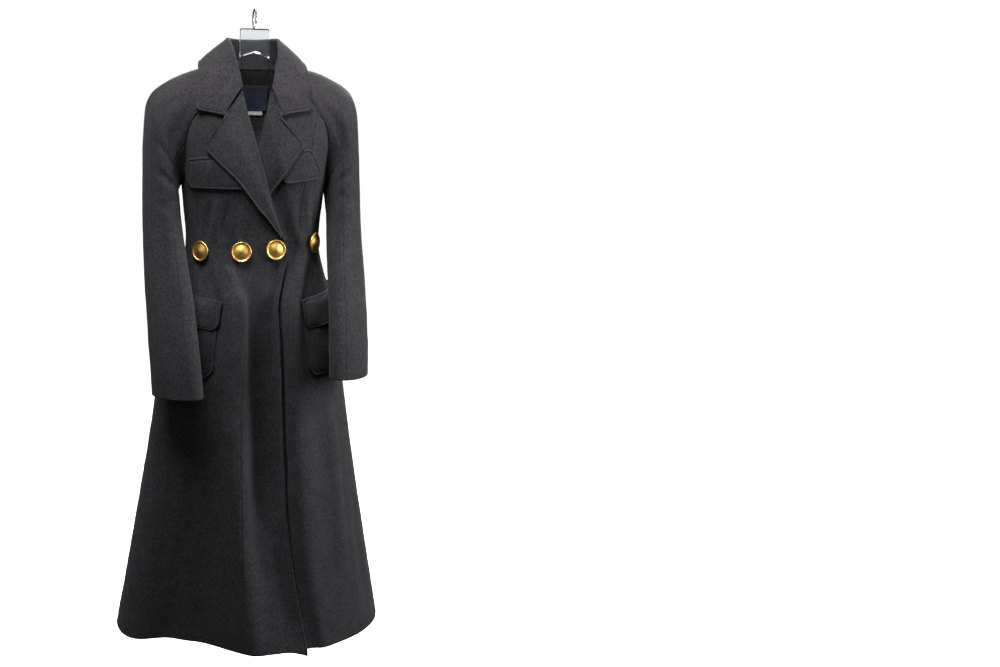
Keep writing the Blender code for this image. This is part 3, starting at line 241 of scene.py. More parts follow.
# Sleeve rings: the outer point, the inner point, then the ring's own form. The last column
# is how much nearer the body the left sleeve lies.
# outer x, outer z, inner x, inner z, centre y, half depth, slant, squareness, left inward
SLEEVE_RINGS = (
    (0.078, -0.113, 0.1510, -0.357, 0.006, 0.050, 0.00, 2.3, 0.000),
    (0.112, -0.118, 0.1545, -0.359, 0.005, 0.056, 0.00, 2.3, 0.000),
    (0.150, -0.131, 0.1570, -0.361, 0.003, 0.062, 0.00, 2.2, 0.001),
    (0.188, -0.150, 0.1585, -0.364, 0.001, 0.066, 0.00, 2.2, 0.003),
    (0.213, -0.170, 0.1595, -0.368, -0.001, 0.068, 0.03, 2.2, 0.005),
    (0.226, -0.196, 0.1600, -0.373, -0.004, 0.068, 0.07, 2.2, 0.007),
    (0.231, -0.240, 0.1600, -0.382, -0.009, 0.066, 0.15, 2.1, 0.007),
    (0.234, -0.300, 0.1595, -0.400, -0.016, 0.062, 0.25, 2.1, 0.006),
    (0.236, -0.370, 0.1580, -0.430, -0.028, 0.056, 0.38, 2.0, 0.005),
    (0.237, -0.440, 0.1540, -0.475, -0.045, 0.050, 0.52, 2.0, 0.005),
    (0.237, -0.510, 0.1480, -0.530, -0.070, 0.046, 0.62, 2.0, 0.004),
    (0.236, -0.580, 0.1420, -0.590, -0.098, 0.043, 0.68, 2.0, 0.002),
    (0.234, -0.650, 0.1370, -0.655, -0.124, 0.041, 0.70, 2.0, 0.000),
    (0.231, -0.715, 0.1320, -0.718, -0.142, 0.040, 0.68, 2.0, -0.002),
    (0.228, -0.782, 0.1280, -0.774, -0.150, 0.040, 0.64, 2.0, -0.005),
)
CUFF_RAISED_LEFT = 0.032  # the wearer's left cuff hangs this much higher
CAP_RINGS = 5  # rings over which the seam's own line fades into the sleeve's rings
NECK_REACH = 14.0  # degrees of the sleeve's ring that lie on the neckline
NECK_SHARE = 2 * NECK_REACH / (360.0 - 2 * NECK_REACH)
AROUND = 1.0 + NECK_SHARE  # the whole way round a sleeve, over the neck too
FRONT_SLEEVE_SEAM, BACK_SLEEVE_SEAM = 0.296, 0.720  # shares of the armhole where they start

# Collar, from the centre back to the gorge: its fold line and its outer edge.
# across right, across left, along, height, for the fold and then for the edge
COLLAR = (
    (0.0000, 0.0000, 0.0645, -0.0560, 0.0000, 0.0000, 0.0900, -0.1205),
    (0.0260, 0.0260, 0.0600, -0.0560, 0.0450, 0.0450, 0.0850, -0.1200),
    (0.0450, 0.0450, 0.0380, -0.0560, 0.0910, 0.0860, 0.0560, -0.1140),
    (0.0500, 0.0480, 0.0040, -0.0610, 0.1160, 0.1050, 0.0020, -0.1060),
    (0.0460, 0.0435, -0.0270, -0.0820, 0.1220, 0.1060, -0.0370, -0.1300),
    (0.0435, 0.0400, -0.0420, -0.1030, 0.1250, 0.1060, -0.0540, -0.1620),
    (0.0410, 0.0350, -0.0530, -0.1240, 0.1285, 0.1055, -0.0680, -0.1860),
    (0.0385, 0.0305, -0.0620, -0.1410, 0.1300, 0.1045, -0.0780, -0.2015),
    (0.0370, 0.0275, -0.0670, -0.1520, 0.1010, 0.0720, -0.0820, -0.2090),
    (0.0360, 0.0260, -0.0705, -0.1580, 0.0735, 0.0425, -0.0860, -0.2150),
)
COLLAR_CLEAR = 0.0052  # of the collar's middle from the cloth under it
COLLAR_STAND = 0.045  # across the part that stands, whose ends aren't turned
STAND_GAP = -0.0006  # from the neck edge to the stand, which overlaps it

# Lapels: where each row starts on the roll line, and where it ends on the outer edge.
# height on the roll line, across at the end, height at the end
LAPEL_RIGHT = (
    (-0.1668, -0.0735, -0.2205),
    (-0.196, -0.0930, -0.2510),
    (-0.218, -0.1130, -0.2815),
    (-0.245, -0.0860, -0.3105),
    (-0.290, -0.0530, -0.3430),
    (-0.335, -0.0220, -0.3820),
    (-0.380, 0.0070, -0.4170),
    (-0.425, 0.0320, -0.4480),
    (-0.466, 0.0470, -0.4665),
)
LAPEL_LEFT = (
    (-0.1668, 0.0395, -0.2235),
    (-0.216, 0.0635, -0.2495),
    (-0.240, 0.0870, -0.2755),
    (-0.264, 0.0650, -0.3070),
    (-0.294, 0.0420, -0.3410),
    (-0.326, 0.0180, -0.3760),
    (-0.360, -0.0060, -0.4040),
    (-0.395, -0.0220, -0.4200),
)
LAPEL_BASE, LAPEL_LIFT = 0.0020, 0.0062  # at its roll and outside it, over the chest flap

# Chest flaps, from the top row down.
# across at the inner end, height there, across at the outer end, height there
CHEST_FLAP_RIGHT = (
    (-0.044, -0.2905, -0.143, -0.3000),
    (-0.038, -0.3140, -0.145, -0.3180),
    (-0.030, -0.3400, -0.146, -0.3380),
    (-0.024, -0.3620, -0.136, -0.3600),
)
CHEST_FLAP_LEFT = (
    (0.040, -0.2830, 0.105, -0.2800),
    (0.041, -0.3050, 0.118, -0.3040),
    (0.043, -0.3400, 0.128, -0.3270),
    (0.050, -0.3500, 0.122, -0.3410),
)
CHEST_LAID = 0.0014  # under the chest flaps

# Hip pockets and their flaps, from the top row down.
# front across, front height, back across, back height, lift share
HIP_POCKET = (
    (0.083, -0.605, 0.128, -0.582, 0.00),
    (0.087, -0.620, 0.136, -0.597, 0.70),
    (0.091, -0.645, 0.147, -0.622, 1.00),
    (0.0945, -0.675, 0.156, -0.654, 1.00),
    (0.098, -0.706, 0.165, -0.688, 0.95),
    (0.101, -0.734, 0.173, -0.720, 0.60),
    (0.116, -0.750, 0.161, -0.740, 0.00),
)
HIP_FLAP = (
    (0.0800, -0.588, 0.1250, -0.555, 0.00),
    (0.0805, -0.594, 0.1255, -0.561, 0.40),
    (0.0820, -0.605, 0.1270, -0.572, 1.00),
    (0.0860, -0.638, 0.1310, -0.600, 1.06),
    (0.1040, -0.650, 0.1460, -0.612, 1.06),
)
POCKET_PUFF = 0.0060  # how far the bellows pocket stands off the hip
FLAP_STAND = 0.0088  # how far its flap does
POCKET_LAID, FLAP_LAID = 0.0014, 0.0022  # under the edges of each
POCKET_TALL, FLAP_TALL, HIP_WIDE = 0.155, 0.075, 0.30  # near enough to space their rows

# Half belt: its own curve.
BELT_REACH, BELT_TOP, BELT_BOTTOM, BELT_RISE = 0.0755, -0.417, -0.478, 0.0195
BELT_OVER_END, BELT_UNDER_END = 0.030, -0.020
BELT_POINT = 0.008  # how far the free end comes to a point
BELT_LIFT = 0.0012  # lift of the belt from the back
BELT_LAP = 0.0042  # lift of the over belt where it laps the under one

# At the back of the neck: half width, top, bottom, thickness, rise of an end.
TAB = (0.0285, -0.1455, -0.1585, 0.0025, 0.0015)
LABEL = (0.044, -0.150, -0.203, 0.0010, 0.0)
STRIP = (0.035, -0.2022, -0.213, 0.0008, 0.0)  # its top lies under the label

# Turned profiles, from the foot of the shank up to the tip: radius and height.
BIG_BUTTON = (
    (0.0032, 0.0000), (0.0030, 0.0029), (0.0120, 0.0031), (0.0190, 0.0035),
    (0.0204, 0.0042), (0.0210, 0.0053), (0.0209, 0.0062), (0.0204, 0.0071),
    (0.0197, 0.0075), (0.0189, 0.0073), (0.0180, 0.0065), (0.0172, 0.0059),
    (0.0160, 0.0056), (0.0146, 0.0058), (0.0128, 0.0065), (0.0100, 0.0076),
    (0.0070, 0.0088), (0.0040, 0.0098), (0.0018, 0.0103), (0.0004, 0.0104),
)
CUFF_BUTTON = (
    (0.0022, 0.0000), (0.0022, 0.0011), (0.0062, 0.0014), (0.0069, 0.0019),
    (0.0072, 0.0027), (0.0070, 0.0035), (0.0064, 0.0041), (0.0057, 0.0042),
    (0.0047, 0.0036), (0.0036, 0.0035), (0.0026, 0.0039), (0.0016, 0.0044),
    (0.0003, 0.0046),
)


def hex_colour(text):
    """An sRGB hex colour as linear red, green, blue and alpha."""
    parts = [int(text[i : i + 2], 16) / 255 for i in (1, 3, 5)]
    linear = [p / 12.92 if p <= 0.04045 else ((p + 0.055) / 1.055) ** 2.4 for p in parts]
    return (*linear, 1.0)


class CoatCloth(bpy.types.PropertyGroup):
    """Sizes and colours of the coating cloth."""

    wool: FloatVectorProperty(
        name="Wool", description="Colour of the coating cloth", subtype="COLOR",
        size=4, min=0.0, max=1.0, default=hex_colour("#272628"),
    )
    nap: FloatVectorProperty(
        name="Nap", description="Colour that the raised fibres catch", subtype="COLOR",
        size=4, min=0.0, max=1.0, default=hex_colour("#8a888c"),
    )
    twill: FloatProperty(
        name="Twill", description="Distance between two twill lines", unit="LENGTH",
        default=0.0016, min=0.0004, max=0.01,
    )
    crease: FloatProperty(
        name="Crease strength", description="Share of the creases' full depth",
        subtype="FACTOR", default=1.25, min=0.0, max=1.5,
    )


class CoatTrim(bpy.types.PropertyGroup):
    """Colours of what is sewn on the coat, and of its hanger."""

    brass: FloatVectorProperty(
        name="Brass", description="Colour of the brushed buttons", subtype="COLOR",
        size=4, min=0.0, max=1.0, default=hex_colour("#dcb062"),
    )
    leather: FloatVectorProperty(
        name="Leather", description="Colour of the tab", subtype="COLOR",
        size=4, min=0.0, max=1.0, default=hex_colour("#7d3d1f"),
    )
    label: FloatVectorProperty(
        name="Label", description="Ground of the neck label", subtype="COLOR",
        size=4, min=0.0, max=1.0, default=hex_colour("#1b2233"),
    )
    tape: FloatVectorProperty(
        name="Strip", description="Ground of the strip under the label", subtype="COLOR",
        size=4, min=0.0, max=1.0, default=hex_colour("#c9c6c0"),
    )


class CoatStudio(bpy.types.PropertyGroup):
    """Floor, light and camera."""

    floor: FloatVectorProperty(
        name="Floor", description="Colour of the floor", subtype="COLOR",
        size=4, min=0.0, max=1.0, default=hex_colour("#f4f3f1"),
    )
    floor_drop: FloatProperty(
        name="Floor drop", description="From the hem down to the floor", unit="LENGTH",
        default=0.30, min=0.0, max=2.0,
    )
    room: FloatProperty(
        name="Room light", description="Strength of the light from all round",
        default=0.11, min=0.0, max=2.0,
    )
    lens: FloatProperty(
        name="Lens", description="Focal length on a 36 mm sensor", unit="CAMERA",
        default=38.52, min=10.0, max=200.0,
    )


def slope(rows, index, column):
    """The tangent of a smooth curve through a table's rows, at one row."""
    before = rows[max(index - 1, 0)]
    after = rows[min(index + 1, len(rows) - 1)]
    return (after[column] - before[column]) / (after[0] - before[0])


def read(rows, at):
    """The columns of a table at a place between its rows, on a smooth curve through them."""
    falling = rows[0][0] > rows[-1][0]
    inside = min(max(at, min(rows[0][0], rows[-1][0])), max(rows[0][0], rows[-1][0]))
    index = 0
    while index < len(rows) - 2 and (
        rows[index + 1][0] > inside if falling else rows[index + 1][0] < inside
    ):
        index += 1
    low, high = rows[index], rows[index + 1]
    span = high[0] - low[0]
    part = (inside - low[0]) / span
    ease_low = (1 + 2 * part) * (1 - part) ** 2
    ease_high = part * part * (3 - 2 * part)
    lead_low = part * (1 - part) ** 2 * span
    lead_high = part * part * (part - 1) * span
    return [
        ease_low * low[c]
        + ease_high * high[c]
        + lead_low * slope(rows, index, c)
        + lead_high * slope(rows, index + 1, c)
        for c in range(1, len(low))
    ]


def blend(first, second, share):
    return first + (second - first) * share


def soft_step(share):
    share = min(max(share, 0.0), 1.0)
    return share * share * (3 - 2 * share)


def soft_steps(shares):
    shares = np.clip(shares, 0.0, 1.0)
    return shares * shares * (3 - 2 * shares)


def fold(rows, across, height, side=1):
    """How far one fold moves the skin in at a place. A side of -1 mirrors it."""
    if height > rows[0][0]:
        return 0.0
    centre, reach_low, reach_high, flat, depth = read(rows, height)
    away = (across - centre * side) * side
    share = away / reach_high if away > 0 else -away / reach_low
    if share >= 1:
        return 0.0
    return depth * (1 - soft_step((share - flat) / (1 - flat)))


def front_folds(across, height):
    return (
        fold(FRONT_CHANNEL, across, height)
        + fold(FRONT_RIDGE, across, height)
        + fold(FRONT_RIDGE, across, height, -1)
        + fold(FRONT_HOLLOW, across, height)
    )


def back_folds(across, height):
    return (
        fold(BACK_VALLEY_LEFT, across, height)
        + fold(BACK_VALLEY_RIGHT, across, height, -1)
        + fold(BACK_LOBE_LEFT, across, height)
        + fold(BACK_LOBE_RIGHT, across, height, -1)
    )


def skin(turn, height):
    """The point of the coat's outer surface at a turn and a height."""
    half_width, front, back, square = read(SECTIONS, height)
    angle = math.radians(turn)
    side, fore = math.sin(angle), math.cos(angle)
    power = 2 / square
    across = math.copysign(half_width * abs(side) ** power, side)
    if fore > 0:
        along = -front * fore**power + front_folds(across, height)
    else:
        along = back * abs(fore) ** power - back_folds(across, height)
    return Vector((across, along, height))


def skin_normal(turn, height):
    """The way out of the surface, from points a little to each side."""
    round_it = skin(turn + 0.4, height) - skin(turn - 0.4, height)
    down_it = skin(turn, height - 0.003) - skin(turn, height + 0.003)
    return down_it.cross(round_it).normalized()


def turn_of(across, height, face, centre=180.0):
    """The turn of a place given by its distance across, on the front or the back."""
    half_width, _, _, square = read(SECTIONS, height)
    share = min(abs(across) / half_width, 1.0)
    turn = math.copysign(math.degrees(math.asin(share ** (square / 2))), across)
    return turn if face == "front" else centre - turn


def front_seam(side):
    def turn(height):
        height = min(height, FRONT_SEAM[0][0])
        return turn_of(side * read(FRONT_SEAM, height)[0], height, "front")

    return turn


def back_seam(rows, side):
    def turn(height):
        height = min(height, rows[0][0])
        return turn_of(side * read(rows, height)[0], height, "back", side * 180.0)

    return turn


def side_seam(side):
    return lambda height: side * SIDE_TURN


def over_edge(height):
    return turn_of(read(OVER_EDGE, height)[0], height, "front")


def under_edge(height):
    return turn_of(read(UNDER_EDGE, height)[0], height, "front")


def vent_edge(rows, side):
    """The centre back seam, and below the vent's top the edge of one of its layers."""

    def turn(height):
        across = read(rows, height)[0] if height < VENT_TOP else 0.0
        return turn_of(across, height, "back", side * 180.0)

    return turn


ARMHOLE_TURNS = {
    side: [
        (
            share,
            side * SIDE_TURN if face == "side" else turn_of(side * across, height, face, side * 180.0),
            height,
        )
        for share, across, height, face in ARMHOLE
    ]
    for side, _ in HANDS
}


def armhole(side, share):
    """The turn and height of the armhole seam at a share of its way."""
    return read(ARMHOLE_TURNS[side], share)


def seam_stretch(side, first, last):
    """A top line that follows the armhole seam from one share to another."""
    return lambda share: armhole(side, blend(first, last, share))


def front_top(side):
    """The front's top: up the neckline from the roll line, then down the armhole seam."""
    edge = OVER_EDGE if side < 0 else UNDER_EDGE
    start = turn_of(read(edge, NECK_FRONT)[0], NECK_FRONT, "front")
    neck_turn, neck_height = armhole(side, 0.0)

    def top(share):
        if share < 0.5:
            part = share / 0.5
            return blend(start, neck_turn, part), blend(NECK_FRONT, neck_height, part)
        return armhole(side, blend(0.0, FRONT_SEAM_SHARE, (share - 0.5) / 0.5))

    return top


def back_top(side):
    """The back's top: the armhole seam to the neck, then the neckline to the centre."""
    neck_turn, neck_height = armhole(side, 1.0)

    def top(share):
        if share < 0.5:
            return armhole(side, blend(INNER_SEAM_SHARE, 1.0, share / 0.5))
        part = (share - 0.5) / 0.5
        return blend(neck_turn, side * 180.0, part), blend(neck_height, NECK_BACK, part)

    return top


def under_sink(turn, height):
    """How far the under front and what joins it lie below the surface."""
    across = skin(turn, height).x
    beyond = across - read(OVER_EDGE, height)[0] - 0.012
    return UNDER_DEPTH * (1 - soft_step(beyond / UNDER_FADE))


def vent_sink(turn, height):
    """How far the left back lies below the right one where the vent overlaps."""
    across = skin(turn, height).x
    below = soft_step((VENT_TOP + 0.12 - height) / 0.06)
    return VENT_DEPTH * below * (1 - soft_step((across - 0.024) / 0.02))


# Creases, as soft troughs and ridges. A depth goes in, and a negative one
# comes out.
# face, points of (across, height), half width, depth
CREASES = (
    ("front", ((-0.104, -0.395), (-0.108, -0.430), (-0.112, -0.470)), 0.011, 0.0027),
    ("front", ((-0.088, -0.372), (-0.094, -0.420), (-0.096, -0.476)), 0.010, -0.0024),
    ("front", ((-0.068, -0.380), (-0.075, -0.430), (-0.072, -0.470)), 0.012, 0.0034),
    ("front", ((-0.128, -0.372), (-0.126, -0.420), (-0.122, -0.462)), 0.009, 0.0024),
    ("front", ((-0.048, -0.405), (-0.056, -0.440), (-0.050, -0.478)), 0.010, -0.0020),
    ("front", ((-0.030, -0.432), (-0.036, -0.460), (-0.040, -0.486)), 0.008, 0.0017),
    ("front", ((0.086, -0.356), (0.082, -0.410), (0.084, -0.466)), 0.012, 0.0031),
    ("front", ((0.104, -0.352), (0.101, -0.400), (0.106, -0.458)), 0.010, -0.0024),
    ("front", ((0.066, -0.372), (0.062, -0.420), (0.058, -0.462)), 0.010, 0.0020),
    ("front", ((0.120, -0.372), (0.118, -0.420), (0.117, -0.458)), 0.008, 0.0020),
    ("front", ((-0.117, -0.505), (-0.123, -0.535), (-0.126, -0.566)), 0.012, 0.0024),
    ("front", ((-0.040, -0.512), (-0.046, -0.545), (-0.040, -0.580)), 0.012, 0.0020),
    ("front", ((0.031, -0.508), (0.022, -0.540), (0.020, -0.572)), 0.012, 0.0024),
    ("front", ((0.117, -0.498), (0.121, -0.530), (0.118, -0.560)), 0.010, 0.0020),
    ("front", ((-0.088, -0.232), (-0.092, -0.262), (-0.094, -0.288)), 0.010, 0.0017),
    ("front", ((-0.154, -0.880), (-0.172, -1.080), (-0.190, -1.300)), 0.034, -0.0040),
    ("front", ((-0.098, -0.860), (-0.108, -1.050), (-0.112, -1.270)), 0.030, 0.0030),
    ("front", ((-0.068, -0.700), (-0.070, -0.900), (-0.060, -1.180)), 0.020, -0.0028),
    ("front", ((-0.004, -0.590), (0.008, -0.740), (0.016, -0.940), (0.014, -1.100)), 0.038, 0.0085),
    ("front", ((0.150, -0.760), (0.170, -0.980), (0.196, -1.260)), 0.024, -0.0046),
    ("front", ((0.118, -0.760), (0.132, -1.000), (0.156, -1.300)), 0.030, 0.0026),
    ("front", ((0.214, -1.000), (0.240, -1.180), (0.262, -1.330)), 0.030, 0.0034),
    ("back", ((-0.020, -0.215), (-0.018, -0.300), (-0.020, -0.395)), 0.010, 0.0012),
    ("back", ((0.022, -0.240), (0.019, -0.320), (0.020, -0.400)), 0.012, -0.0010),
    ("back", ((-0.100, -0.240), (-0.112, -0.290), (-0.128, -0.330)), 0.014, 0.0020),
    ("back", ((0.104, -0.236), (0.116, -0.290), (0.132, -0.335)), 0.013, 0.0018),
    ("back", ((-0.122, -0.215), (-0.134, -0.262), (-0.146, -0.300)), 0.012, -0.0016),
    ("back", ((-0.110, -0.360), (-0.104, -0.410), (-0.092, -0.455)), 0.014, 0.0020),
    ("back", ((0.112, -0.352), (0.106, -0.400), (0.096, -0.450)), 0.015, 0.0022),
    ("back", ((-0.130, -0.420), (-0.116, -0.470), (-0.098, -0.505)), 0.013, -0.0016),
    ("back", ((0.131, -0.410), (0.119, -0.462), (0.100, -0.500)), 0.013, -0.0016),
    ("back", ((-0.012, -0.500), (-0.014, -0.620), (-0.010, -0.800)), 0.012, 0.0014),
    ("back", ((0.014, -0.520), (0.016, -0.640), (0.018, -0.760)), 0.012, -0.0012),
    ("back", ((0.150, -0.780), (0.176, -1.000), (0.205, -1.280)), 0.030, 0.0030),
    ("back", ((-0.142, -0.760), (-0.164, -1.000), (-0.186, -1.280)), 0.032, 0.0034),
    ("back", ((-0.190, -0.900), (-0.226, -1.120), (-0.256, -1.320)), 0.026, -0.0030),
    ("back", ((0.192, -0.860), (0.222, -1.100), (0.250, -1.310)), 0.028, -0.0032),
)


def degree_length(height):
    """The length of one degree round the coat at a height, near enough for a crease."""
    half_width, front, back, _ = read(SECTIONS, height)
    return math.pi * (half_width + (front + back) / 2) / 360


def crease_lines():
    """Each crease as a line of (turn, height) with its half width and depth."""
    found = []
    for face, points, width, depth in CREASES:
        line = []
        for across, height in points:
            centre = math.copysign(180.0, across)
            line.append((turn_of(across, height, face, centre), height))
        found.append((line, width, depth))
    return found


def stroke(u, v, line, width, depth):
    """How far a crease moves each place of a flat chart in metres, with its ends tapered."""
    away = np.full(u.shape, 9.0)
    along = np.zeros(u.shape)
    steps = [math.dist(a, b) for a, b in zip(line, line[1:])]
    total, done = sum(steps), 0.0
    for a, b, length in zip(line, line[1:], steps):
        du, dv = b[0] - a[0], b[1] - a[1]
        part = np.clip(((u - a[0]) * du + (v - a[1]) * dv) / (length * length), 0.0, 1.0)
        gap = np.hypot(u - a[0] - part * du, v - a[1] - part * dv)
        closer = gap < away
        away = np.where(closer, gap, away)
        along = np.where(closer, (done + part * length) / total, along)
        done += length
    ends = soft_steps(np.minimum(along, 1 - along) / 0.35 + 0.15)
    return -depth * np.clip(1 - (away / width) ** 2, 0.0, 1.0) ** 2 * ends


def cloth_waves(points, size, length, seed):
    """A slow unevenness of the cloth, in metres, that is the same each run."""
    flat = points.reshape(-1, 3)
    shift = Vector((seed * 1.7, seed * 3.1, seed * 0.9))
    found = [noise.noise(Vector(p) / length + shift) for p in flat]
    return size * np.array(found).reshape(points.shape[:-1])


def spaced(length, near_low, near_high, step):
    """Shares across a length: fine near each end, as offsets in metres, and even between."""
    low = [offset / length for offset in near_low]
    high = [1 - offset / length for offset in reversed(near_high)]
    first, last = low[-1], high[0]
    count = max(2, round((last - first) * length / step))
    between = [blend(first, last, k / count) for k in range(1, count)]
    return np.array(low + between + high)


PLAIN = (0.0, 0.0006, 0.0016, 0.0032, 0.0060)  # columns near a plain seam
STITCHED = (0.0, 0.0005, 0.0013, 0.0026, 0.0040, 0.0051, 0.0056, 0.0062, 0.0068, 0.0073, 0.0088)
STITCH_AT = STITCHED.index(STITCH_INSET)


def seam_form(away):
    """The pressed seam: the cloth turns in, with a slight bulge beside it."""
    turned_in = -0.0010 * np.clip(1 - away / 0.0016, 0, 1) ** 1.6
    return turned_in + 0.0003 * np.exp(-(((away - 0.0040) / 0.0022) ** 2))


def edge_form(away):
    """A turned and topstitched edge: it rolls in, swells, and sinks at the stitches."""
    roll = -0.0011 * np.clip(1 - away / 0.0015, 0, 1) ** 2
    swell = 0.0008 * np.exp(-(((away - 0.0032) / 0.0019) ** 2))
    sunk = -0.0008 * np.exp(-(((away - STITCH_INSET) / 0.0009) ** 2))
    return roll + swell + sunk


def lengths(grid, axis):
    """The length along a grid's rows or columns, from its first point."""
    steps = np.linalg.norm(np.diff(grid, axis=axis), axis=2)
    start = np.zeros_like(np.take(steps, [0], axis=axis))
    return np.cumsum(np.concatenate([start, steps], axis=axis), axis=axis)


def ways_of(grid, out):
    """The way out at each point of a grid. The out array tells which side that is."""
    down, across = np.gradient(grid, axis=0), np.gradient(grid, axis=1)
    way = np.cross(down, across)
    way /= np.maximum(np.linalg.norm(way, axis=2, keepdims=True), 1e-12)
    return way if (way * out).sum() > 0 else -way


outer_faces = {}  # the points and faces of each cloth piece's outer face, to lie others on


def cloth(name, grid, out, thick, finish, inside=None, faced=None):
    """A thin closed shell on a grid of its outer face, with a UV map in metres.

    The inside finish lines it, except where the faced array says that the finish turns in.
    """
    ways = ways_of(grid, out)
    rows, columns = grid.shape[:2]
    inner = grid - ways * (thick[..., None] if hasattr(thick, "shape") else thick)
    points = np.concatenate([grid.reshape(-1, 3), inner.reshape(-1, 3)])
    under = rows * columns
    index = np.arange(under).reshape(rows, columns)
    quads = np.stack(
        [index[:-1, :-1], index[:-1, 1:], index[1:, 1:], index[1:, :-1]], axis=-1
    ).reshape(-1, 4)
    rim = np.concatenate([index[0], index[1:, -1], index[-1, -2::-1], index[-2:0:-1, 0]])
    after = np.roll(rim, -1)
    rims = np.stack([after, rim, rim + under, after + under], axis=-1)
    faces = np.concatenate([quads, quads[:, ::-1] + under, rims])
    a, b, d = (grid.reshape(-1, 3)[quads[len(quads) // 2][k]] for k in (0, 1, 3))
    facing = np.dot(np.cross(b - a, d - a), ways.reshape(-1, 3)[quads[len(quads) // 2][0]])
    if facing < 0:
        faces = faces[:, ::-1]
    outer_faces[name] = (points[:under], faces[: len(quads)])
    mesh = bpy.data.meshes.new(f"{name}_cloth")
    mesh.from_pydata(points.tolist(), [], faces.tolist())
    mesh.update()
    across = lengths(grid, 1)
    u = across - across[:, [columns // 2]]
    v = -np.broadcast_to(lengths(grid, 0)[:, [columns // 2]], u.shape)
    flat = np.stack([u, v], axis=-1).reshape(-1, 2)
    place = np.concatenate([flat, flat])
    layer = mesh.uv_layers.new(name="cloth")
    corners = np.empty(len(mesh.loops), np.int32)
    mesh.loops.foreach_get("vertex_index", corners)
    layer.data.foreach_set("uv", place[corners].astype(np.float32).reshape(-1))
    made = bpy.data.objects.new(f"{name}_cloth", mesh)
    bpy.context.scene.collection.objects.link(made)
    mesh.materials.append(finish)
    if inside is not None:
        mesh.materials.append(inside)
        slots = np.zeros(len(faces), np.int32)
        slots[len(quads) : 2 * len(quads)] = 1 if faced is None else ~faced[:-1, :-1].reshape(-1)
        mesh.polygons.foreach_set("material_index", slots)
    mesh.polygons.foreach_set("use_smooth", np.ones(len(faces), bool))
    mesh.set_sharp_from_angle(angle=math.radians(60))
    mesh.update()
    return made, ways


def declare(piece, grid, node):
    """Rides a cut piece and hides the node that it replaces. It works out the grid's area, width and
    length, but uses them for nothing.
    """
    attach(piece, "root")
    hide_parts(node)
    a, b, c, d = grid[:-1, :-1], grid[:-1, 1:], grid[1:, 1:], grid[1:, :-1]
    area = float((np.linalg.norm(np.cross(c - a, d - b), axis=2) / 2).sum())
    width, length = float(lengths(grid, 1)[:, -1].max()), float(lengths(grid, 0)[-1].max())
    length = max(length, area / width * 1.001)


def panel_grid(low_seam, high_seam, top, sink, drop, low_kind):
    """The turns, heights and points of a panel, with fine columns beside its two seams."""

    def width_at(height):
        turns = [blend(low_seam(height), high_seam(height), k / 12) for k in range(13)]
        places = [skin(turn, height) for turn in turns]
        return sum((b - a).length for a, b in zip(places, places[1:]))

    tall = -HEM + top(0.0)[1]
    rows = [r / tall for r in PLAIN]
    count = round(tall / ROW_STEP)
    rows += [blend(rows[-1], 1 - 0.009 / tall, k / count) for k in range(1, count + 1)]
    rows += [1 - r / tall for r in HEM_ROWS]
    widest = width_at(HEM)
    count = len(spaced(widest, low_kind, PLAIN, COLUMN_STEP))
    turns = np.zeros((len(rows), count))
    heights = np.zeros((len(rows), count))
    points = np.zeros((len(rows), count, 3))
    for r, row_share in enumerate(rows):
        near = blend(top(0.5)[1], HEM, row_share)
        width = max(width_at(near), 0.012 + low_kind[-1] + PLAIN[-1])
        first, last = low_kind[-1] / width, 1 - PLAIN[-1] / width
        between = count - len(low_kind) - len(PLAIN)
        shares = [o / width for o in low_kind]
        shares += [blend(first, last, (k + 1) / (between + 1)) for k in range(between)]
        shares += [1 - o / width for o in reversed(PLAIN)]
        for c, share in enumerate(shares):
            top_turn, top_height = top(share)
            hem = HEM - drop * max(0.0, 1 - share / 0.4) ** 2
            height = blend(top_height, hem, row_share)
            low, high = low_seam(height), high_seam(height)
            turn = blend(low, high, share)
            straight = blend(low_seam(top_height), high_seam(top_height), share)
            turn += (top_turn - straight) * (1 - row_share) ** TOP_FADE
            turns[r, c], heights[r, c] = turn, height
            points[r, c] = skin(turn, height)
            if sink:
                points[r, c] -= np.array(skin_normal(turn, height)) * sink(turn, height)
    return turns, heights, points


def unfold(turns, heights, grid):
    """Straightens a sunk panel beside its low seam, where the bend would fold it back."""
    reach = len(PLAIN) + 2
    shares = (turns[:, :reach] - turns[:, [0]]) / (turns[:, [reach]] - turns[:, [0]])
    straight = grid[:, [0]] + (grid[:, [reach]] - grid[:, [0]]) * shares[..., None]
    strength = soft_steps((-0.50 - heights[:, :reach]) / 0.04)[..., None]
    grid[:, :reach] += (straight - grid[:, :reach]) * strength


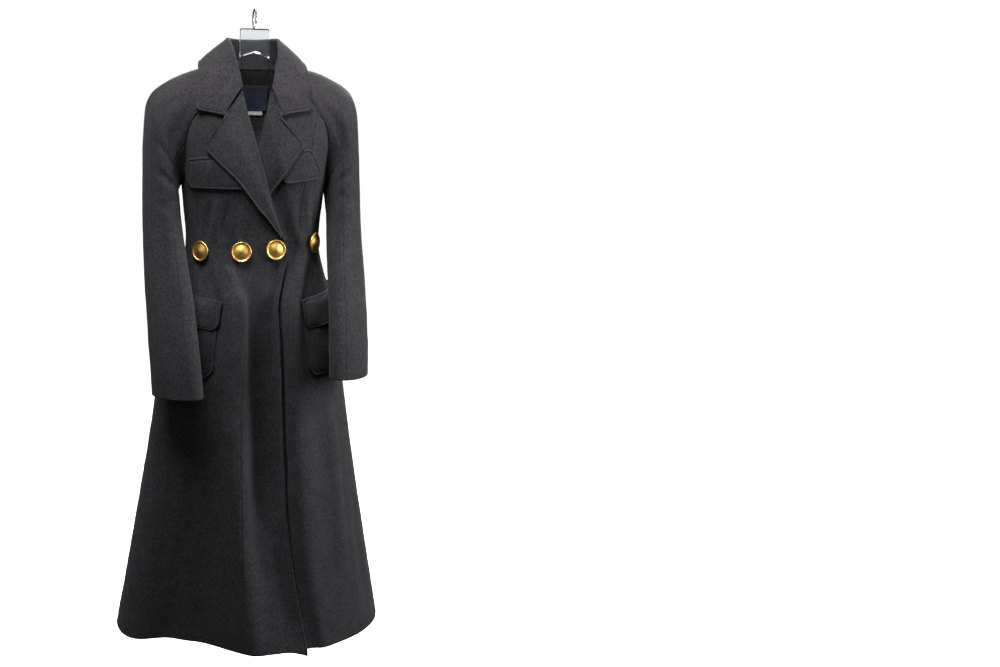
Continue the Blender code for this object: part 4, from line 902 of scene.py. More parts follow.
def panel(name, low_seam, high_seam, top, sink=None, drop=0.0, low_kind=PLAIN):
    """A body panel as a creased shell from its top line down to the hem."""
    turns, heights, grid = panel_grid(low_seam, high_seam, top, sink, drop, low_kind)
    if sink is under_sink and low_kind is PLAIN:
        unfold(turns, heights, grid)
    out = grid * np.array([1, 1, 0])
    ways = ways_of(grid, out)
    strength = bpy.context.scene.coat_cloth.crease
    move = np.zeros(turns.shape)
    for line, width, depth in crease_lines():
        scale = degree_length(sum(height for _, height in line) / len(line))
        for shift in (-360.0, 0.0, 360.0):
            flat = [((turn + shift) * scale, height) for turn, height in line]
            move += stroke(turns * scale, heights, flat, width, depth) * strength
    move += cloth_waves(grid, 0.0009, 0.055, 1.0) + cloth_waves(grid, 0.0004, 0.021, 2.0)
    across = lengths(grid, 1)
    from_low, from_high = across, across[:, [-1]] - across
    down = lengths(grid, 0)
    from_top, from_hem = down, down[[-1]] - down
    puckers = cloth_waves(grid * np.array([1, 1, 1.6]), 0.0007, 0.012, 3.0)
    for away, kind in ((from_low, low_kind), (from_high, PLAIN)):
        form = edge_form if kind is STITCHED else seam_form
        move += form(away) + puckers * np.exp(-((away / PUCKER_REACH) ** 2)) * (away > 0)
    move += seam_form(from_top)
    move -= 0.0012 * np.clip(1 - from_hem / 0.0022, 0, 1) ** 2
    grid = grid + ways * move[..., None]
    thick = WALL + 0.0010 * (1 - soft_steps(from_hem / 0.03))
    if low_kind is STITCHED:
        thick += 0.0012 * (1 - soft_steps(from_low / 0.03))
    faced = (from_hem < HEM_TURN) | (heights > NECK_FACING)
    if low_kind is STITCHED:
        faced |= from_low < FRONT_FACING
    made, ways = cloth(name, grid, out, thick, material_of("wool"), material_of("lining"), faced)
    declare(made, grid, name)
    return grid, ways


stitched = {}  # rows of topstitching, as lists of points with their ways out


def keep_stitches(name, points, ways):
    stitched.setdefault(name, []).append((np.array(points), np.array(ways)))


def stitch_flap(name, grid, ways):
    """Stitches down both ends of a flap or pocket and along its lower edge."""
    rows, columns = grid.shape[:2]
    low, high, bottom = STITCH_AT, columns - 1 - STITCH_AT, rows - 1 - STITCH_AT
    for pick in ((slice(3, bottom + 1), low), (slice(3, bottom + 1), high), (bottom, slice(low, high + 1))):
        keep_stitches(name, grid[pick], ways[pick])


def body_panels(side, hand):
    sunk = under_sink if side > 0 else None
    princess, side_line = front_seam(side), side_seam(side)
    outer_line = back_seam(BACK_OUTER_SEAM, side)
    inner_line = back_seam(BACK_INNER_SEAM, side)
    edge = over_edge if side < 0 else under_edge
    layer = VENT_EDGE if side < 0 else VENT_UNDER
    drop = TIP_DROP if side < 0 else 0.0
    grid, ways = panel(f"front_{hand}", edge, princess, front_top(side), sunk, drop, STITCHED)
    keep_stitches(f"stitches_front_{hand}", grid[6:-4, STITCH_AT], ways[6:-4, STITCH_AT])
    panel(f"side_front_{hand}", princess, side_line, seam_stretch(side, FRONT_SEAM_SHARE, 0.5), sunk)
    panel(f"side_back_{hand}", side_line, outer_line, seam_stretch(side, 0.5, OUTER_SEAM_SHARE))
    sunk = vent_sink if side > 0 else None
    top = seam_stretch(side, OUTER_SEAM_SHARE, INNER_SEAM_SHARE)
    panel(f"back_side_{hand}", outer_line, inner_line, top, sunk)
    panel(f"back_{hand}", inner_line, vent_edge(layer, side), back_top(side), sunk)


# Creases of a sleeve: armhole share round it, and share of the way down.
# points of (share round, share down), half width, depth
SLEEVE_CREASES = (
    (((0.20, 0.10), (0.22, 0.20), (0.27, 0.31)), 0.013, 0.0024),
    (((0.14, 0.06), (0.15, 0.18), (0.20, 0.30)), 0.012, -0.0018),
    (((0.30, 0.30), (0.22, 0.38), (0.14, 0.42)), 0.012, 0.0020),
    (((0.34, 0.42), (0.26, 0.47), (0.16, 0.50)), 0.013, 0.0026),
    (((0.34, 0.50), (0.25, 0.56), (0.17, 0.58)), 0.012, 0.0020),
    (((0.10, 0.40), (0.12, 0.60), (0.10, 0.86)), 0.012, -0.0022),
    (((0.20, 0.62), (0.21, 0.76), (0.19, 0.93)), 0.014, 0.0018),
    (((0.74, 0.08), (0.71, 0.20), (0.66, 0.32)), 0.013, 0.0026),
    (((0.84, 0.08), (0.81, 0.22), (0.77, 0.36)), 0.013, -0.0020),
    (((0.62, 0.30), (0.70, 0.40), (0.80, 0.45)), 0.013, 0.0022),
    (((0.58, 0.44), (0.68, 0.50), (0.82, 0.53)), 0.014, 0.0028),
    (((0.56, 0.56), (0.66, 0.60), (0.78, 0.64)), 0.012, 0.0020),
    (((0.90, 0.36), (0.88, 0.60), (0.90, 0.84)), 0.014, -0.0022),
    (((0.46, 0.20), (0.44, 0.40), (0.45, 0.62)), 0.013, 0.0020),
    (((0.02, 0.16), (0.01, 0.30), (0.03, 0.46)), 0.012, 0.0012),
)


def ring_angle(share):
    """The sleeve ring's angle, from its outer point round the front, at an armhole share."""
    return blend(NECK_REACH, 360.0 - NECK_REACH, share)


RING_TABLE = tuple((index, *row) for index, row in enumerate(SLEEVE_RINGS))


def ring_point(at, side, angle, raise_by):
    outer_x, outer_z, inner_x, inner_z, centre_y, depth, slant, square, left_in = read(RING_TABLE, at)
    half_x, half_z = (outer_x - inner_x) / 2, (outer_z - inner_z) / 2
    centre_x = (outer_x + inner_x) / 2 - (left_in if side > 0 else 0.0)
    power = 2 / square
    cosine, sine = math.cos(math.radians(angle)), math.sin(math.radians(angle))
    out = math.copysign(abs(cosine) ** power, cosine)
    fore = math.copysign(abs(sine) ** power, sine)
    return Vector((
        side * (centre_x + half_x * out),
        centre_y - depth * fore + slant * math.hypot(half_x, half_z) * out,
        (outer_z + inner_z) / 2 + half_z * out + raise_by,
    ))


def sleeve_point(side, share, at):
    """A point of the sleeve at an armhole share and a ring, over the neck past share 1."""
    if share <= 1.0:
        angle, start = ring_angle(max(share, 0.0)), skin(*armhole(side, max(share, 0.0)))
    else:
        part = (share - 1.0) / NECK_SHARE
        angle = blend(360.0 - NECK_REACH, 360.0 + NECK_REACH, part)
        ends = [armhole(side, 1.0), armhole(side, 0.0)]
        start = skin(*(blend(b, f, part) for b, f in zip(*ends)))
    last = len(SLEEVE_RINGS) - 1
    fade = max(0.0, 1 - at / CAP_RINGS) ** 2
    raise_by = CUFF_RAISED_LEFT * (at / last) ** 2 if side > 0 else 0.0
    place = ring_point(at, side, angle, raise_by)
    return place + (start - ring_point(0.0, side, angle, 0.0)) * fade


def sleeve_piece(name, side, first, last):
    """One sleeve piece between two shares round the armhole, past 1 over the neck."""
    near = [o / SLEEVE_GIRTH for o in PLAIN]
    span = last - first
    shares = [first + o for o in near]
    count = round((span - 2 * near[-1]) * SLEEVE_GIRTH / 0.0055)
    shares += [blend(first + near[-1], last - near[-1], k / count) for k in range(1, count)]
    shares += [last - o for o in reversed(near)]
    length = len(SLEEVE_RINGS) - 1
    rows = [0.012, 0.02, 0.04, 0.07, 0.12] + [blend(0.2, length - 0.18, k / 118) for k in range(119)]
    rows += [length - r for r in (0.10, 0.05, 0.025, 0.01, 0.0)]
    grid = np.array([
        [sleeve_point(side, share if share <= AROUND else share - AROUND, at) for share in shares]
        for at in rows
    ])
    whole = np.array([[ring_middle(side, at)] for at in rows])
    out = grid - whole
    ways = ways_of(grid, out)
    across = lengths(grid, 1)
    down = lengths(grid, 0)
    from_low, from_high, from_hem = across, across[:, [-1]] - across, down[[-1]] - down
    chart_v, chart_u = np.meshgrid(
        np.array(rows) / length * SLEEVE_LENGTH, np.array(shares) * SLEEVE_GIRTH, indexing="ij"
    )
    move = np.zeros(chart_u.shape)
    strength = bpy.context.scene.coat_cloth.crease
    for line, width, depth in SLEEVE_CREASES:
        for shift in (0.0, AROUND):
            points = [((s + shift) * SLEEVE_GIRTH, d * SLEEVE_LENGTH) for s, d in line]
            move += stroke(chart_u, chart_v, points, width, depth) * strength
    move += cloth_waves(grid, 0.0010, 0.045, 4.0 + side) + cloth_waves(grid, 0.0004, 0.018, 6.0)
    puckers = cloth_waves(grid, 0.0006, 0.012, 7.0)
    for away in (from_low, from_high):
        move += seam_form(away) + puckers * np.exp(-((away / PUCKER_REACH) ** 2))
    move += seam_form(down)
    move -= 0.0010 * np.clip(1 - from_hem / 0.0018, 0, 1) ** 2
    cap = 0.0016 * np.exp(-(((down - 0.010) / 0.008) ** 2))
    grid = grid + ways * (move + cap)[..., None]
    thick = WALL + 0.0012 * (1 - soft_steps(from_hem / 0.03))
    made, _ = cloth(name, grid, out, thick, material_of("wool"), material_of("lining"))
    declare(made, grid, name)


def ring_middle(side, at):
    points = [sleeve_point(side, k / 8, at) for k in range(8)]
    return sum(points, Vector()) / 8


def sleeves(side, hand):
    sleeve_piece(f"under_sleeve_{hand}", side, FRONT_SLEEVE_SEAM, BACK_SLEEVE_SEAM)
    sleeve_piece(f"upper_sleeve_{hand}", side, BACK_SLEEVE_SEAM, FRONT_SLEEVE_SEAM + AROUND)


def smooth_rows(table, parts):
    """A grid's rows filled in along smooth curves, given how many steps each gap takes."""
    table = np.asarray(table, float)
    flat = table.reshape(len(table), -1)
    rows = [(float(index), *row) for index, row in enumerate(flat)]
    places = [0.0]
    for index, count in enumerate(parts):
        places += [index + (k + 1) / count for k in range(count)]
    return np.array([read(rows, at) for at in places]).reshape(-1, *table.shape[1:])


def laid_grid(rows, lift, sink, row_shares, column_shares):
    """The points of a piece that lies on the body, with their ways out.

    The rows function gives the two ends of a row, each a turn and a height, at a share down.
    """
    shape = (len(row_shares), len(column_shares))
    points, ways = np.zeros((*shape, 3)), np.zeros((*shape, 3))
    for r, down in enumerate(row_shares):
        first, last = rows(down)
        for c, share in enumerate(column_shares):
            turn, height = (blend(a, b, share) for a, b in zip(first, last))
            up = lift(turn, height, share, down) - (sink(turn, height) if sink else 0.0)
            ways[r, c] = skin_normal(turn, height)
            points[r, c] = skin(turn, height) + Vector(ways[r, c]) * (up + WALL)
    return points, ways


def front_place(across, height):
    return turn_of(across, height, "front"), height


def back_place(across, height):
    return turn_of(across, height, "back"), height


def edged(grid, ways, edges, waves=0.0006):
    """Moves a laid grid by its turned edges. The edges are any of low, high, top, bottom."""
    across, down = lengths(grid, 1), lengths(grid, 0)
    away = {
        "low": across, "high": across[:, [-1]] - across, "top": down, "bottom": down[[-1]] - down,
    }
    nearest = np.full(across.shape, 1.0)
    for edge in edges:
        nearest = np.minimum(nearest, away[edge])
    move = edge_form(nearest) + cloth_waves(grid, waves, 0.03, 9.0)
    return grid + ways * move[..., None]


def lapel(hand, table, roll, sink):
    name = f"lapel_{hand}"
    rows = []
    for index, (roll_height, across, height) in enumerate(table):
        start = front_place(read(roll, roll_height)[0], roll_height)
        end = front_place(across, height)
        rows.append((float(index), *start, *end))
    last = len(rows) - 1

    def ends(down):
        index = min(int(down * last), last - 1)
        part = down * last - index
        if index < 2:  # straight at the notch, whose corner stays sharp
            low, high = rows[index], rows[index + 1]
            found = [blend(a, b, part) for a, b in zip(low[1:], high[1:])]
        else:
            found = read(rows[2:], down * last)
        return (found[0], found[1]), (found[2], found[3])

    def lift(turn, height, share, down):
        clear = (skin(turn, height).x - read(OVER_EDGE, height)[0]) / 0.022 if sink else 1.0
        tail = min(1.0, last * (1 - down) / 2)
        part = soft_step(share / 0.4) * soft_step(clear) * tail
        return blend(LAPEL_BASE, LAPEL_LIFT, part)

    width = 0.09
    columns = [o / width for o in (0.0, 0.0016, 0.0034, 0.006)]
    columns += [blend(0.11, 1 - 0.0105 / width, k / 12) for k in range(13)]
    columns += [1 - o / width for o in reversed(STITCHED)]
    tall = 0.33 if hand == "right" else 0.26
    row_shares = spaced(tall, STITCHED, PLAIN, 0.006)
    grid, ways = laid_grid(ends, lift, sink, row_shares, columns)
    grid = edged(grid, ways, ("top", "high"))
    # The roll: three rows more carry the cloth round the front's edge to its back.
    start, way, ahead = grid[:, 0], ways[:, 0], grid[:, 1] - grid[:, 0]
    head = start - ahead / np.linalg.norm(ahead, axis=1, keepdims=True) * 0.0022
    roll_rows = (start - way * 0.0052, head - way * 0.0024, head * 0.55 + start * 0.45 - way * 0.0004)
    grid = np.concatenate([np.stack(roll_rows, axis=1), grid], axis=1)
    out = np.concatenate([ways[:, [0]]] * 3 + [ways], axis=1)
    made, out_ways = cloth(name, grid, out, WALL * 0.9, material_of("wool"))
    declare(made, grid, name)
    at = len(grid[0]) - 1 - STITCH_AT
    for pick in ((slice(STITCH_AT, -4), at), (STITCH_AT, slice(6, at + 1))):
        keep_stitches(f"stitches_lapel_{hand}", grid[pick], out_ways[pick])


def table_ends(table, face_of):
    """A rows function through a table of across and height at each end."""
    rows = []
    for index, row in enumerate(table):
        first, last = face_of(row)
        rows.append((float(index), *first, *last))

    def ends(down):
        found = read(rows, down * (len(rows) - 1))
        return (found[0], found[1]), (found[2], found[3])

    return ends


def chest_flap(hand, table, sink):
    name = f"chest_flap_{hand}"
    ends = table_ends(table, lambda row: (front_place(row[0], row[1]), front_place(row[2], row[3])))
    tall, wide = 0.072, 0.083
    rows, columns = (spaced(size, STITCHED, STITCHED, 0.004) for size in (tall, wide))

    def lift(turn, height, share, down):
        return CHEST_LAID + 0.0012 * soft_step(down / 0.3)

    grid, ways = laid_grid(ends, lift, sink, rows, columns)
    grid = edged(grid, ways, ("low", "high", "top", "bottom"))
    made, out = cloth(name, grid, ways, WALL * 0.95, material_of("wool"))
    declare(made, grid, name)
    stitch_flap(f"stitches_chest_{hand}", grid, out)


def hip_piece(name, table, side, stand, low, laid_at, hand, near):
    """A pocket or its flap, wrapped round the hip. The low share is its lift at the ends."""

    def face(row):
        first = turn_of(side * row[0], row[1], "front"), row[1]
        last = turn_of(side * row[2], row[3], "back", side * 180.0), row[3]
        return first, last

    ends = table_ends(table, face)
    lifts = [(float(index), row[4]) for index, row in enumerate(table)]

    def lift(turn, height, share, down):
        sides = low + (1 - low) * soft_step(min(share, 1 - share) / 0.12)
        return laid_at + stand * read(lifts, down * (len(lifts) - 1))[0] * sides

    rows = spaced(POCKET_TALL if near is PLAIN else FLAP_TALL, near, STITCHED, 0.006)
    columns = spaced(HIP_WIDE, STITCHED, STITCHED, 0.006)
    grid, ways = laid_grid(ends, lift, None, rows, columns)
    grid = edged(grid, ways, ("low", "high", "bottom") + (() if near is PLAIN else ("top",)), 0.0014)
    made, out = cloth(name, grid, ways, WALL * 0.95, material_of("wool"))
    declare(made, grid, name)
    stitch_flap(f"stitches_hip_{hand}", grid, out)


def belt_heights(across):
    rise = BELT_RISE * (across / BELT_REACH) ** 2
    return BELT_TOP + rise, BELT_BOTTOM + rise


def half_belt(name, first, last, over):
    rows = spaced(abs(last - first), PLAIN if over else STITCHED, STITCHED, 0.005)
    columns = spaced(BELT_TOP - BELT_BOTTOM, STITCHED, STITCHED, 0.005)
    shape = (len(rows), len(columns), 3)
    grid, ways = np.zeros(shape), np.zeros(shape)
    for r, down in enumerate(rows):
        across = blend(first, last, down)
        top, bottom = belt_heights(across)
        for c, share in enumerate(columns):
            height = blend(top, bottom, share)
            here, lap = across, 0.0
            if over:
                here += BELT_POINT * soft_step((down - 0.8) / 0.2) * (1 - abs(share - 0.5) * 2)
                lap = soft_step((here + 0.045) / 0.018)
            up = blend(BELT_LIFT, BELT_LAP, lap) + WALL
            turn = turn_of(here, height, "back")
            ways[r, c] = skin_normal(turn, height)
            grid[r, c] = np.array(skin(turn, height)) + ways[r, c] * up
    grid = edged(grid, ways, ("low", "high", "bottom" if over else "top"))
    made, out = cloth(name, grid, ways, WALL * 0.95, material_of("wool"))
    declare(made, grid, name)
    high = len(columns) - 1 - STITCH_AT
    end = len(rows) - 1 - STITCH_AT if over else STITCH_AT
    span = slice(3, end + 1) if over else slice(end, -3)
    for pick in ((span, STITCH_AT), (span, high), (end, slice(STITCH_AT, high + 1))):
        keep_stitches(f"stitches_{name}", grid[pick], out[pick])


def cloth_under(names):
    """A tree of the outer faces of pieces already made, to lie on or seat against."""
    points, faces = [], []
    for name in names:
        found, quads = outer_faces[name]
        faces += (quads + len(points)).tolist()
        points += found.tolist()
    return BVHTree.FromPolygons(points, faces)


def push_clear(point, tree, clear):
    """Moves a point out until it stands a length clear of the cloth under it."""
    for _ in range(3):
        found, way, _, away = tree.find_nearest(point)
        height = (point - found).dot(way)
        if height > 0 and away >= clear:
            return point
        point = point + way * max(clear - height, 0.0005)
    return point


def neck_edge():
    """The neck seam from the right gorge round the back to the left one, with its rows."""
    halves = []
    for side in (-1, 1):
        front, back = front_top(side), back_top(side)
        places = [back(share) for share in (1.0, 0.75, 0.5)]
        neck_front, neck_back = armhole(side, 0.0), armhole(side, 1.0)
        places.append([blend(f, b, 0.5) for f, b in zip(neck_front, neck_back)])
        places += [front(share) for share in (0.50, 0.40, 0.26, 0.14, 0.06, 0.0)]
        halves.append([(side, row, skin(*place)) for row, place in zip(COLLAR, places)])
    return halves[0][::-1] + halves[1][1:]


def collar():
    """The stand and the fall of the collar as one folded shell."""
    kinds = ("front", "side_front", "back", "back_side", "upper_sleeve")
    under = [f"{kind}_{hand}" for kind in kinds for hand in ("left", "right")]
    tree = cloth_under(under)
    middle = []
    for side, row, neck in neck_edge():
        hand = 0 if side < 0 else 1
        top = Vector((side * row[hand], row[2], row[3]))
        edge = Vector((side * row[4 + hand], row[6], row[7]))
        up = (top - neck).normalized()
        out = edge - top
        out = (out - up * out.dot(up)).normalized()
        start = neck + up * STAND_GAP
        stand = top - up * 0.0050
        fall = top + out * 0.0062 - up * 0.0050
        falls = [fall.lerp(edge, share) + out * 0.002 for share in (0.35, 0.72)]
        middle.append([
            start,
            start.lerp(stand, 0.5),
            stand,
            top - up * 0.0016 + out * 0.0008,
            top + out * 0.0030,
            top + out * 0.0054 - up * 0.0018,
            *(push_clear(point, tree, COLLAR_CLEAR) for point in (fall, *falls, edge)),
        ])
    middle = np.array(middle)
    row_parts = [4, 5, 6, 5, 5, 5, 6, 7, 7, 7, 7, 6, 5, 5, 5, 6, 5, 4]
    fine = smooth_rows(middle, row_parts)
    fine = np.swapaxes(smooth_rows(np.swapaxes(fine, 0, 1), [4, 4, 2, 2, 2, 3, 4, 5, 6]), 0, 1)
    last_piece = []
    for row in fine:
        reach = row[-1] - row[-7]
        last_piece.append([row[-7] + reach * (1 - o / np.linalg.norm(reach)) for o in reversed(STITCHED)])
    fine = np.concatenate([fine[:, :-6], np.array(last_piece)], axis=1)
    out = fine - np.array([0.0, 0.0, -0.16])
    ways = ways_of(fine, out)
    across, down = lengths(fine, 1), lengths(fine, 0)
    ends = np.where(across > COLLAR_STAND, np.minimum(down, down[[-1]] - down), 1.0)
    nearest = np.minimum(across[:, [-1]] - across, ends)
    move = edge_form(nearest) + cloth_waves(fine, 0.0006, 0.03, 9.0)
    grid = fine + ways * (WALL / 2 + move)[..., None]
    made, out_ways = cloth("collar", grid, out, WALL, material_of("wool"))
    declare(made, grid, "collar")
    at = grid.shape[1] - 1 - STITCH_AT
    keep_stitches("stitches_collar", grid[2:-2, at], out_ways[2:-2, at])


def neck_sheet(node, sizes, lift, slot, inset):
    """A ribbon or tab sewn flat at the back of the neck. A lift below zero lies inside."""
    half, top, bottom, thick, tilt = sizes
    near = (0.0, 0.0003, 0.0009, inset)
    rows, columns = spaced(top - bottom, near, near, 0.0024), spaced(2 * half, near, near, 0.0030)

    def ends(down):
        height = blend(top, bottom, down)
        return back_place(-half, height - tilt), back_place(half, height + tilt)

    grid, ways = laid_grid(ends, lambda *_: lift - WALL, None, rows, columns)
    out = ways if lift > 0 else -ways
    across, down = lengths(grid, 1), lengths(grid, 0)
    nearest = np.minimum(np.minimum(across, across[:, [-1]] - across), np.minimum(down, down[[-1]] - down))
    roll = 0.35 * thick * np.clip(1 - nearest / 0.0007, 0, 1) ** 2
    sunk = 0.15 * thick * np.exp(-(((nearest - inset) / 0.0007) ** 2))
    grid = grid + out * (cloth_waves(grid, 0.0004, 0.016, 12.0) - roll - sunk)[..., None]
    made, out = cloth(node, grid, out, thick, material_of(slot))
    declare(made, grid, node)
    low, high, span = 3, -4, slice(3, -4)
    for pick in ((low, span), (high, span), (span, low), (span, high)):
        keep_stitches(f"stitches_{node}", grid[pick], out[pick])


def stitch_rows(name, lines):
    """Short raised stitches along rows of points, as one mesh of small faceted beads."""
    points, faces = [], []
    for line, ways in lines:
        steps = np.linalg.norm(np.diff(line, axis=0), axis=1)
        reach = np.concatenate([[0.0], np.cumsum(steps)])
        at = STITCH_GAP
        while at + STITCH_LENGTH < reach[-1]:
            first, last = (
                np.array([np.interp(at + s, reach, line[:, k]) for k in range(3)])
                for s in (0, STITCH_LENGTH)
            )
            way = np.array([np.interp(at, reach, ways[:, k]) for k in range(3)])
            way /= np.linalg.norm(way)
            along = (last - first) / STITCH_LENGTH
            side = np.cross(way, along)
            start = len(points)
            for share, wide, high in STITCH_RINGS:
                centre = first + (last - first) * share
                for s, h in ((-0.5, 0.0), (0.0, 0.5), (0.5, 0.0)):
                    aside, up = s * wide * STITCH_WIDTH * 1.4, (h * wide + high * 0.4) * STITCH_WIDTH
                    points.append(centre + side * aside + way * up)
            for low in range(start, start + 9, 3):
                for a, b in ((0, 1), (1, 2), (2, 0)):
                    faces.append((low + a, low + b, low + b + 3, low + a + 3))
            faces += [(start + 2, start + 1, start), (start + 9, start + 10, start + 11)]
            at += STITCH_LENGTH + STITCH_GAP
    mesh = bpy.data.meshes.new(name)
    mesh.from_pydata([tuple(p) for p in points], [], faces)
    mesh.update()
    work = bmesh.new()
    work.from_mesh(mesh)
    bmesh.ops.recalc_face_normals(work, faces=work.faces)
    work.to_mesh(mesh)
    work.free()
    mesh.polygons.foreach_set("use_smooth", np.ones(len(mesh.polygons), bool))
    made = bpy.data.objects.new(name, mesh)
    bpy.context.scene.collection.objects.link(made)
    mesh.materials.append(material_of("thread"))
    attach(made, "root")


NOISE = "ShaderNodeTexNoise"


def add_node(tree, kind, links=(), **values):
    """Adds a shader node with its settings, socket values and links in."""
    node = tree.nodes.new(kind)
    for name, value in values.items():
        if hasattr(node, name):
            setattr(node, name, value)
        else:
            node.inputs[name.replace("_", " ")].default_value = value
    for socket, source in links:
        tree.links.new(source, node.inputs[socket])
    return node


def new_material(name, **values):
    """A material with plain values on its shader's sockets, its tree and its shader."""
    made = bpy.data.materials.new(name)
    made.use_nodes = True
    shader = made.node_tree.nodes["Principled BSDF"]
    for socket, value in values.items():
        shader.inputs[socket.replace("_", " ")].default_value = value
    return made, made.node_tree, shader


def wool_material(name, colour, nap, twill):
    """Coating wool, woven in a fine twill and brushed: matt, with a soft nap at its rims.

    Its flecks of mixed fibres are 4 mm, coarser than the real ones, so that they show.
    """
    made, tree, shader = new_material(
        name, Roughness=0.92, Specular_IOR_Level=0.14,
        Sheen_Weight=0.12, Sheen_Roughness=0.45, Sheen_Tint=nap,
    )
    flat = add_node(tree, "ShaderNodeUVMap", uv_map="cloth").outputs["UV"]
    place = add_node(tree, "ShaderNodeTexCoord").outputs["Object"]
    lines = add_node(
        tree, "ShaderNodeTexWave", [("Vector", flat)], wave_type="BANDS", bands_direction="DIAGONAL",
        Scale=0.31 / twill, Distortion=1.2, Detail=2.0, Detail_Scale=3.0,
    )
    fibres, fleck, cloud = (
        add_node(tree, NOISE, [("Vector", place)], Scale=scale, Detail=detail, Roughness=rough)
        for scale, detail, rough in ((620.0, 3.0, 0.7), (250.0, 2.0, 0.6), (38.0, 3.0, 0.6))
    )
    links = [(0, lines.outputs["Color"]), (1, fibres.outputs["Fac"])]
    weave = add_node(tree, "ShaderNodeMath", links, operation="MULTIPLY").outputs[0]
    shade = None
    for source, low, high, dark, light in (
        (weave, 0.05, 0.62, 0.68, 1.28),
        (cloud.outputs["Fac"], 0.3, 0.7, 0.88, 1.12),
        (fleck.outputs["Fac"], 0.36, 0.64, 0.66, 1.34),
    ):
        part = add_node(
            tree, "ShaderNodeMapRange", [("Value", source)],
            From_Min=low, From_Max=high, To_Min=dark, To_Max=light,
        ).outputs[0]
        links = [(0, shade), (1, part)]
        shade = add_node(tree, "ShaderNodeMath", links, operation="MULTIPLY").outputs[0] if shade else part
    base = add_node(tree, "ShaderNodeVectorMath", [("Scale", shade)], operation="SCALE", Vector=colour[:3])
    tree.links.new(base.outputs[0], shader.inputs["Base Color"])
    bump = add_node(tree, "ShaderNodeBump", [("Height", weave)], Strength=0.35, Distance=0.0005)
    tree.links.new(bump.outputs[0], shader.inputs["Normal"])
    return made


def patterned(name, tone=None, rough=None, relief=None, **values):
    """A material with patterns on object coordinates, and plain values on its shader.

    Each pattern is a kind of node with its settings. The tone's scales a colour and the rough
    one gives the roughness, each through a range, and the relief's has an output and a bump.
    """
    made, tree, shader = new_material(name, **values)
    place = add_node(tree, "ShaderNodeTexCoord").outputs["Object"]
    for use in (tone, rough):
        if use is None:
            continue
        kind, settings, span = use[:3]
        pattern = add_node(tree, kind, [("Vector", place)], **settings)
        share = add_node(tree, "ShaderNodeMapRange", [("Value", pattern.outputs["Fac"])], **span)
        if use is rough:
            tree.links.new(share.outputs[0], shader.inputs["Roughness"])
            continue
        links = [("Scale", share.outputs[0])]
        base = add_node(tree, "ShaderNodeVectorMath", links, operation="SCALE", Vector=use[3][:3])
        tree.links.new(base.outputs[0], shader.inputs["Base Color"])
    if relief:
        kind, settings, output, strength, height = relief
        pattern = add_node(tree, kind, [("Vector", place)], **settings)
        links = [("Height", pattern.outputs[output])]
        bump = add_node(tree, "ShaderNodeBump", links, Strength=strength, Distance=height)
        tree.links.new(bump.outputs[0], shader.inputs["Normal"])
    return made


def lining_material():
    """Lining, a plain dark satin weave: smoother than the wool, with a dull shine."""
    threads = (NOISE, {"Scale": 900.0, "Detail": 2.0})
    tone = (*threads, {"To_Min": 0.6, "To_Max": 1.3}, hex_colour("#26242a"))
    return patterned("lining_satin", tone, relief=(*threads, "Fac", 0.12, 0.0002), Roughness=0.55)


def thread_material():
    """Polyester sewing thread, twisted: a little smoother and lighter than the wool."""
    twist = (NOISE, {"Scale": 2400.0, "Detail": 1.0})
    tone = (*twist, {"To_Min": 0.7, "To_Max": 1.4}, hex_colour("#343336"))
    return patterned("sewing_thread", tone, Roughness=0.6)


def brass_material(colour):
    """Antique brass, cast and brushed: warm metal, with fine scratches that soften its shine."""
    patina = (NOISE, {"Scale": 160.0, "Detail": 3.0, "Roughness": 0.6})
    scratch = (NOISE, {"Scale": 900.0, "Detail": 4.0, "Roughness": 0.7})
    tone = (*patina, {"From_Min": 0.35, "From_Max": 0.65, "To_Min": 0.72, "To_Max": 1.10}, colour)
    rough = (*scratch, {"From_Min": 0.3, "From_Max": 0.7, "To_Min": 0.34, "To_Max": 0.56})
    return patterned("brushed_brass", tone, rough, (*scratch, "Fac", 0.25, 0.0002), Metallic=1.0)


def horn_material():
    """Dark horn-look resin of the cuff buttons, turned and tumbled to a dull shine."""
    streaks = (NOISE, {"Scale": 240.0, "Detail": 3.0, "Distortion": 1.5})
    tone = (*streaks, {"To_Min": 0.5, "To_Max": 1.8}, hex_colour("#231f1f"))
    return patterned("horn_resin", tone, Roughness=0.34)


def leather_material(colour):
    """Tan leather, vegetable tanned: pebbled grain of about 1 mm, semi-matt."""
    cloud = (NOISE, {"Scale": 120.0, "Detail": 3.0})
    grain = ("ShaderNodeTexVoronoi", {"Scale": 1100.0})
    tone = (*cloud, {"From_Min": 0.3, "From_Max": 0.7, "To_Min": 0.72, "To_Max": 1.2}, colour)
    return patterned("tan_leather", tone, relief=(*grain, "Distance", 0.4, 0.0003), Roughness=0.52)


def ribbon_material(name, colour):
    """Woven ribbon of the label and the strip: crosswise ribs 0.9 mm apart, matt."""
    settings = {"wave_type": "BANDS", "bands_direction": "Z", "Scale": 0.31 / 0.0009, "Distortion": 0.4}
    ribs = ("ShaderNodeTexWave", settings)
    tone = (*ribs, {"To_Min": 0.75, "To_Max": 1.15}, colour)
    return patterned(name, tone, relief=(*ribs, "Fac", 0.3, 0.0002), Roughness=0.75)


def acrylic_material():
    """Clear acrylic, cast and flame polished, with fine rubbed marks on its faces."""
    marks = (NOISE, {"Scale": 90.0, "Detail": 4.0, "Roughness": 0.7})
    rough = (*marks, {"From_Min": 0.4, "From_Max": 0.7, "To_Min": 0.04, "To_Max": 0.20})
    clear = {"Base_Color": hex_colour("#e6eaec"), "IOR": 1.49, "Transmission_Weight": 1.0}
    return patterned("clear_acrylic", rough=rough, **clear)


